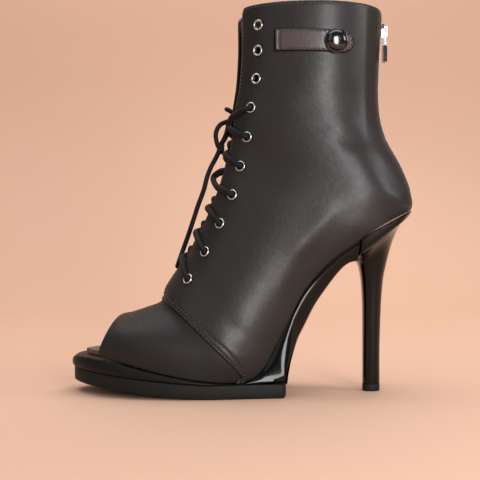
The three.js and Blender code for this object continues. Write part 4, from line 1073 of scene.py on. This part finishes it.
def tipRing(height, inset, half):
    front = Vector((lengthwise(last["tipFront"]) + inset, 0, height))
    rear = Vector((lengthwise(tipRear) - inset, 0, height))
    return heelRing(front, rear, half, heelSet["tipSquare"])


heelLevels = [0, 0.02, 0.05, 0.09, 0.14] + stations(0.25, 3, 16) + stations(3.2, 10.9, 52)
heelRings = [heelLevel(level) for level in heelLevels]
heelRings.append(tipRing(heelSet["lift"] + heelSet["clearance"], 0, heelSet["tipWidth"] / 2))
loftPiece("heelWrap", heelRings, patent, ["heel"], sharp=45)

tipHalf = heelSet["tipWidth"] / 2 + 0.1
liftSteps = [(heelSet["lift"], 0.35), (heelSet["lift"] - 0.12, 0.1), (heelSet["lift"] - 0.4, 0),
             (0.5, 0), (0.15, 0.12), (0, 0.45)]
liftRings = [tipRing(height, inset, tipHalf - inset) for height, inset in liftSteps]
loftPiece("topLift", liftRings, rubber, ["top_lift"], sharp=50)
print("sole and heel ready")

# strap on the lateral side, with a turned edge and a slit bar at its front end
strapSet = {"width": 13.4, "front": 0.590, "length": 47.6, "thickness": 1.8, "height": 215.8,
            "slope": -0.03, "columns": 60, "rows": 14, "gap": 0.3, "skin": 0.5, "edge": 0.75}


def strapSpine(share):
    run = share * strapSet["length"]
    return lengthwise(strapSet["front"]) + run, strapSet["height"] + strapSet["slope"] * run


def onLateral(x, z, lift, start):
    u, a = settleOnSide(-1, x, z, *start, 5)
    return lastPoint(u, -1, a) + lastNormal(u, -1, a) * lift, (u, a)


strapStart = placeOnSide(-1, *strapSpine(0.5))


# half width at a share of the length, and what is left up to the rounded tip
def strapReach(share):
    full = strapSet["width"] / 2
    left = (1 - share) * strapSet["length"]
    return math.sqrt(max(0.01, full ** 2 - max(full - left, 0) ** 2)), left


def strapPlace(i, j):
    level = i / strapSet["columns"]
    share = level if level < 0.8 else 1 - 0.2 * ((1 - level) / 0.2) ** 1.6
    half, left = strapReach(share)
    across = math.sin((j / strapSet["rows"] - 0.5) * math.pi) * half
    x, z = strapSpine(share)
    edge = min(half - abs(across), share * strapSet["length"], left + 0.4)
    lift = strapSet["gap"] + strapSet["thickness"] - rolled(edge, 1.4)
    lift -= 0.3 * math.exp(-((edge - 2.2) / 0.5) ** 2)
    lift -= 0.9 * math.exp(-((share * strapSet["length"] - 3.4) / 0.8) ** 2)
    return onLateral(x, z + across, lift, strapStart)[0]


bm = bmesh.new()
addGrid(bm, strapSet["columns"], strapSet["rows"], strapPlace)
closeShape(bm, caps=False)
if sum(face.normal.y * face.calc_area() for face in bm.faces) > 0:
    bmesh.ops.reverse_faces(bm, faces=bm.faces)
# faces along the strap's rim and at its front end take the near-black calf: the real edge dye, darkened
# further as painted shade along the edge
for face in bm.faces:
    spot = face.calc_center_median() / mm - centring
    share = (spot.x - lengthwise(strapSet["front"])) / strapSet["length"]
    x, z = strapSpine(share)
    fromEdge = strapReach(share)[0] - abs(spot.z - z)
    if fromEdge < strapSet["edge"] or share * strapSet["length"] < 0.6:
        face.material_index = 1
strap = finishPiece("strapLeather", bm, [strapCalf, paintedShadeCalf], ["strap"])
addWall(strap, strapSet["skin"])

# press stud: domed cap with a dark base ring
snapSet = {"radius": 7.2, "height": 4.2, "fromTip": 11.2,
           "profile": [(0, 0), (0.94, 0), (1, 0.06), (1, 0.16), (0.97, 0.22), (0.9, 0.25),
                       (0.88, 0.3), (0.86, 0.42), (0.8, 0.6), (0.7, 0.76), (0.56, 0.88),
                       (0.38, 0.96), (0.2, 0.99), (0, 1)]}
snapSpot = strapSpine(1 - snapSet["fromTip"] / strapSet["length"])
snapPoint, (snapU, snapA) = onLateral(*snapSpot, 2.65, strapStart)
bm = bmesh.new()
addSpun(bm, [(r * snapSet["radius"], h * snapSet["height"]) for r, h in snapSet["profile"]],
        snapPoint, lastNormal(snapU, -1, snapA), 40)
finishPiece("snapCap", bm, [gunmetal], ["snap_cap"], sharp=40)

# eyelets: rolled rim, barrel through the facing and a flare inside
eyeletProfile = [(2.1, -2.6), (2.12, 0.2), (2.25, 0.62), (2.5, 0.92), (2.82, 1.02), (3.12, 0.92),
                 (3.34, 0.64), (3.42, 0.3), (3.35, 0.08), (2.4, 0.05), (2.4, -2.3), (3.1, -2.45),
                 (3.1, -2.7), (2.4, -2.8), (2.1, -2.6)]
for side, sideName in ((-1, "lateral"), (1, "medial")):
    for number, (u, t) in enumerate(eyeletAt[side], 1):
        bm = bmesh.new()
        addSpun(bm, eyeletProfile, upperPoint(u, side, t), upperNormal(u, side, t), 24)
        finishPiece(f"eyelet{sideName.title()}{number}", bm, [nickel],
                    [f"eyelet_{sideName}_{number}"], sharp=50)
print("strap, snap and eyelets ready")

# sewn rows: each stitch is a small lens along its track of places and normals
stitchSet = {"pitch": 2.5, "length": 1.9, "width": 0.4, "height": 0.36, "fromEdge": 1.5,
             "fromLap": (1.25, 3.4), "fromFacing": 2.0, "fromCollar": 2.2, "fromBack": 6.2,
             "tack": [(-44.6, 54.6), (-41.6, 56.6), (-38.4, 58.6)]}


def addStitches(bm, track, size=1.0):
    run = 0
    reach = stitchSet["pitch"] / 2
    for (start, startNormal), (stop, stopNormal) in zip(track, track[1:]):
        step = (stop - start).length
        while step > 0 and reach <= run + step:
            share = (reach - run) / step
            normal = startNormal.lerp(stopNormal, share).normalized()
            along = (stop - start).normalized()
            across = normal.cross(along).normalized()
            turn = Matrix((along, across, along.cross(across))).transposed().to_4x4()
            scale = Matrix.Diagonal((stitchSet["length"] / 2 * mm, stitchSet["width"] * size * mm,
                                     stitchSet["height"] * mm, 1))
            spot = Matrix.Translation(toWorld(start.lerp(stop, share)))
            bmesh.ops.create_uvsphere(bm, u_segments=6, v_segments=4, radius=1,
                                      matrix=spot @ turn @ scale)
            reach += stitchSet["pitch"]
        run += step


def onUpper(u, side, t, lift=-0.05):
    rest = upperPoint(u, side, t)
    fold = foldLift(rest.x, rest.z) * (1 if side < 0 else 0.8)
    return upperPoint(u, side, t, lift + fold), upperNormal(u, side, t)


# millimetres to a share of the half section, near share t
def perShare(u, side, start, stop):
    return (upperPoint(u, side, stop) - upperPoint(u, side, start)).length / 0.04


bm = bmesh.new()
for side in (-1, 1):
    for inset in stitchSet["fromLap"]:
        seamRow = []
        for t in stations(0.015, 0.965, 60):
            seam = seamSection(t)
            seamRow.append(onUpper(seam + inset / perSection(seam, side, t), side, t))
        addStitches(bm, seamRow)
    addStitches(bm, [onUpper(u, side, 1 - stitchSet["fromFacing"] / perShare(u, side, 0.96, 1))
                     for u in stations(last["throat"] + 0.35, last["collar"] - 0.08, 130)])
    topRow = last["collar"] - stitchSet["fromCollar"] / perSection(last["collar"] - 0.1, side, 0.5)
    addStitches(bm, [onUpper(topRow, side, t) for t in stations(0.11, 0.95, 60)])
    addStitches(bm, [onUpper(u, side, stitchSet["fromBack"] / perShare(u, side, 0.08, 0.12))
                     for u in stations(last["seat"] + 1.1, last["collar"] - 0.1, 90)])
    tack = [placeOnSide(side, *spot) for spot in stitchSet["tack"]]
    addStitches(bm, [(lastPoint(u, side, a) + lastNormal(u, side, a) * 0.1, lastNormal(u, side, a))
                     for u, a in tack])
bmesh.ops.recalc_face_normals(bm, faces=bm.faces)
finishPiece("upperStitches", bm, [thread])


def strapEdge(share, across, lift):
    x, z = strapSpine(share)
    half = strapReach(share)[0] - stitchSet["fromEdge"]
    point, (u, a) = onLateral(x, z + across * half, lift, strapStart)
    return point, lastNormal(u, -1, a)


bm = bmesh.new()
tipShare = 1 - stitchSet["fromEdge"] / strapSet["length"]
endShares = [tipShare - 0.14 * (1 - math.cos(k / 12 * math.pi / 2)) for k in range(12, -1, -1)]
shares = stations(0.1, endShares[0], 30)[:-1] + endShares
lift = strapSet["gap"] + strapSet["thickness"] + 0.02
addStitches(bm, [strapEdge(share, 1, lift) for share in shares]
            + [strapEdge(share, -1, lift) for share in reversed(shares)], 1.25)
addStitches(bm, [strapEdge(0.035, across, lift) for across in stations(-1, 1, 8)], 1.25)
bmesh.ops.recalc_face_normals(bm, faces=bm.faces)
finishPiece("strapStitches", bm, [thread])
print("stitches ready")

# zip teeth in two rows that mesh, on the tape down the back
# the real pitch is nearer 1.2 mm; it is drawn at 1.5 mm to show
teethSet = {"pitch": 1.5, "width": 1.7, "height": 0.75, "proud": 0.9, "lift": 0.6, "aside": 0.6,
            "edge": 0.12}
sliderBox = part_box("zip_slider")
bm = bmesh.new()
run, tooth = 0, 0
before = None
for u in stations(last["collar"] - 0.12, last["seat"] + 0.4, 900):
    place = lastPoint(u, 1, 0) + lastNormal(u, 1, 0) * teethSet["lift"]
    if place.z < riseHeight(upperSet["zipLow"]) + 1:
        break
    run += (place - before).length if before else 0
    before = place
    height = toWorld(place).z
    if run >= tooth * teethSet["pitch"]:
        tooth += 1
        if not sliderBox[0][2] - mm < height < sliderBox[1][2] + mm:
            outward = lastNormal(u, 1, 0)
            upward = Vector((-outward.z, 0, outward.x))
            turn = Matrix((Vector((0, 1, 0)), upward, outward)).transposed()
            place.y = teethSet["aside"] * (1 if tooth % 2 else -1)
            size = Matrix.Diagonal((teethSet["width"] * mm, teethSet["height"] * mm,
                                    teethSet["proud"] * mm, 1))
            bmesh.ops.create_cube(bm, size=1,
                                  matrix=Matrix.Translation(toWorld(place)) @ turn.to_4x4() @ size)
bmesh.ops.bevel(bm, geom=bm.edges, offset=teethSet["edge"] * mm, offset_type="OFFSET",
                affect="EDGES", segments=1, profile=0.5, material=-1)
bmesh.ops.recalc_face_normals(bm, faces=bm.faces)
finishPiece("zipTeeth", bm, [gunmetal], sharp=30)
print("zip teeth ready")

# carried-over solids
for node, material in (("insole", pigskin), ("zip_chain", twill), ("zip_slider", nickel),
                       ("pull_link", nickel), ("pull_tab", gunmetal)):
    for slot in bpy.data.objects[node].material_slots:
        slot.material = material

# paper backdrop, rolled down over the floor
backdropSet = {"colour": "d1aa92", "front": 0.9, "back": 0.9, "rise": 0.3, "height": 1.4,
               "half": 2.4}


# painted paper: matt and plain, with a faint fibre
def paintedPaper(tree):
    place = addNode(tree, "ShaderNodeTexCoord").outputs["Object"]
    fibre = addNode(tree, "ShaderNodeTexNoise", {"Scale": 1 / (2 * mm), "Detail": 3.0},
                    {"Vector": place})
    nap = addNode(tree, "ShaderNodeBump", {"Strength": 0.05, "Distance": 0.1 * mm},
                  {"Height": fibre.outputs[0]})
    return addNode(tree, "ShaderNodeBsdfPrincipled",
                   {"Base Color": toLinear(backdropSet["colour"]), "Roughness": 0.8},
                   {"Normal": nap.outputs["Normal"]})


bm = bmesh.new()
made = bmesh.ops.create_grid(bm, x_segments=2, y_segments=40, size=0.5)["verts"]
for vertex in made:
    run = (vertex.co.y + 0.5) * (backdropSet["front"] + backdropSet["back"] + backdropSet["height"])
    flat = backdropSet["front"] + backdropSet["back"]
    bend = clamp((run - flat + backdropSet["rise"]) / (2 * backdropSet["rise"])) * math.pi / 2
    radius = backdropSet["rise"] * 4 / math.pi
    y = min(run, flat - backdropSet["rise"]) - backdropSet["front"] + radius * math.sin(bend)
    z = radius * (1 - math.cos(bend)) + max(0, run - flat - backdropSet["rise"])
    vertex.co = (vertex.co.x * 2 * backdropSet["half"], y, z)
for face in bm.faces:
    face.smooth = True
mesh = bpy.data.meshes.new("backdrop")
bm.to_mesh(mesh)
bm.free()
mesh.materials.append(newMaterial("painted_paper", paintedPaper))
backdrop = bpy.data.objects.new("backdrop", mesh)
scene.collection.objects.link(backdrop)

# studio light: place, aim, size and power of each soft box
softBoxes = {
    "keyBox": ((0.3, -0.78, 0.21), (0.03, 0, 0.13), (0.26, 0.42), 5.5),
    "sideBox": ((0.85, -0.25, 0.43), (0.06, 0, 0.12), (0.3, 0.3), 2.2),
    "fillBox": ((-0.7, -0.8, 0.6), (0, 0, 0.1), (0.9, 0.9), 1.6),
    "topBox": ((0, 0.35, 1.6), (0, 0.35, 0), (2.2, 2.0), 25),
    "rearBox": ((0.3, 0.7, 0.62), (0, 0, 0.12), (0.5, 0.3), 0.9),
    "wallBox": ((0, 0.1, 1.35), (0, 1.3, 0.35), (1.6, 0.5), 7),
}
for name, (place, aim, size, power) in softBoxes.items():
    light = bpy.data.lights.new(name, "AREA")
    light.shape = "RECTANGLE"
    light.size, light.size_y = size
    light.energy = power
    lamp = bpy.data.objects.new(name, light)
    lamp.location = place
    lamp.rotation_euler = (Vector(aim) - Vector(place)).to_track_quat("-Z", "Y").to_euler()
    scene.collection.objects.link(lamp)
world = bpy.data.worlds.new("studio")
world.use_nodes = True
sky = world.node_tree.nodes["Background"]
sky.inputs[0].default_value = toLinear("eef1f4")
sky.inputs[1].default_value = 0.2
scene.world = world
scene.view_settings.view_transform = "Standard"
print("studio ready")
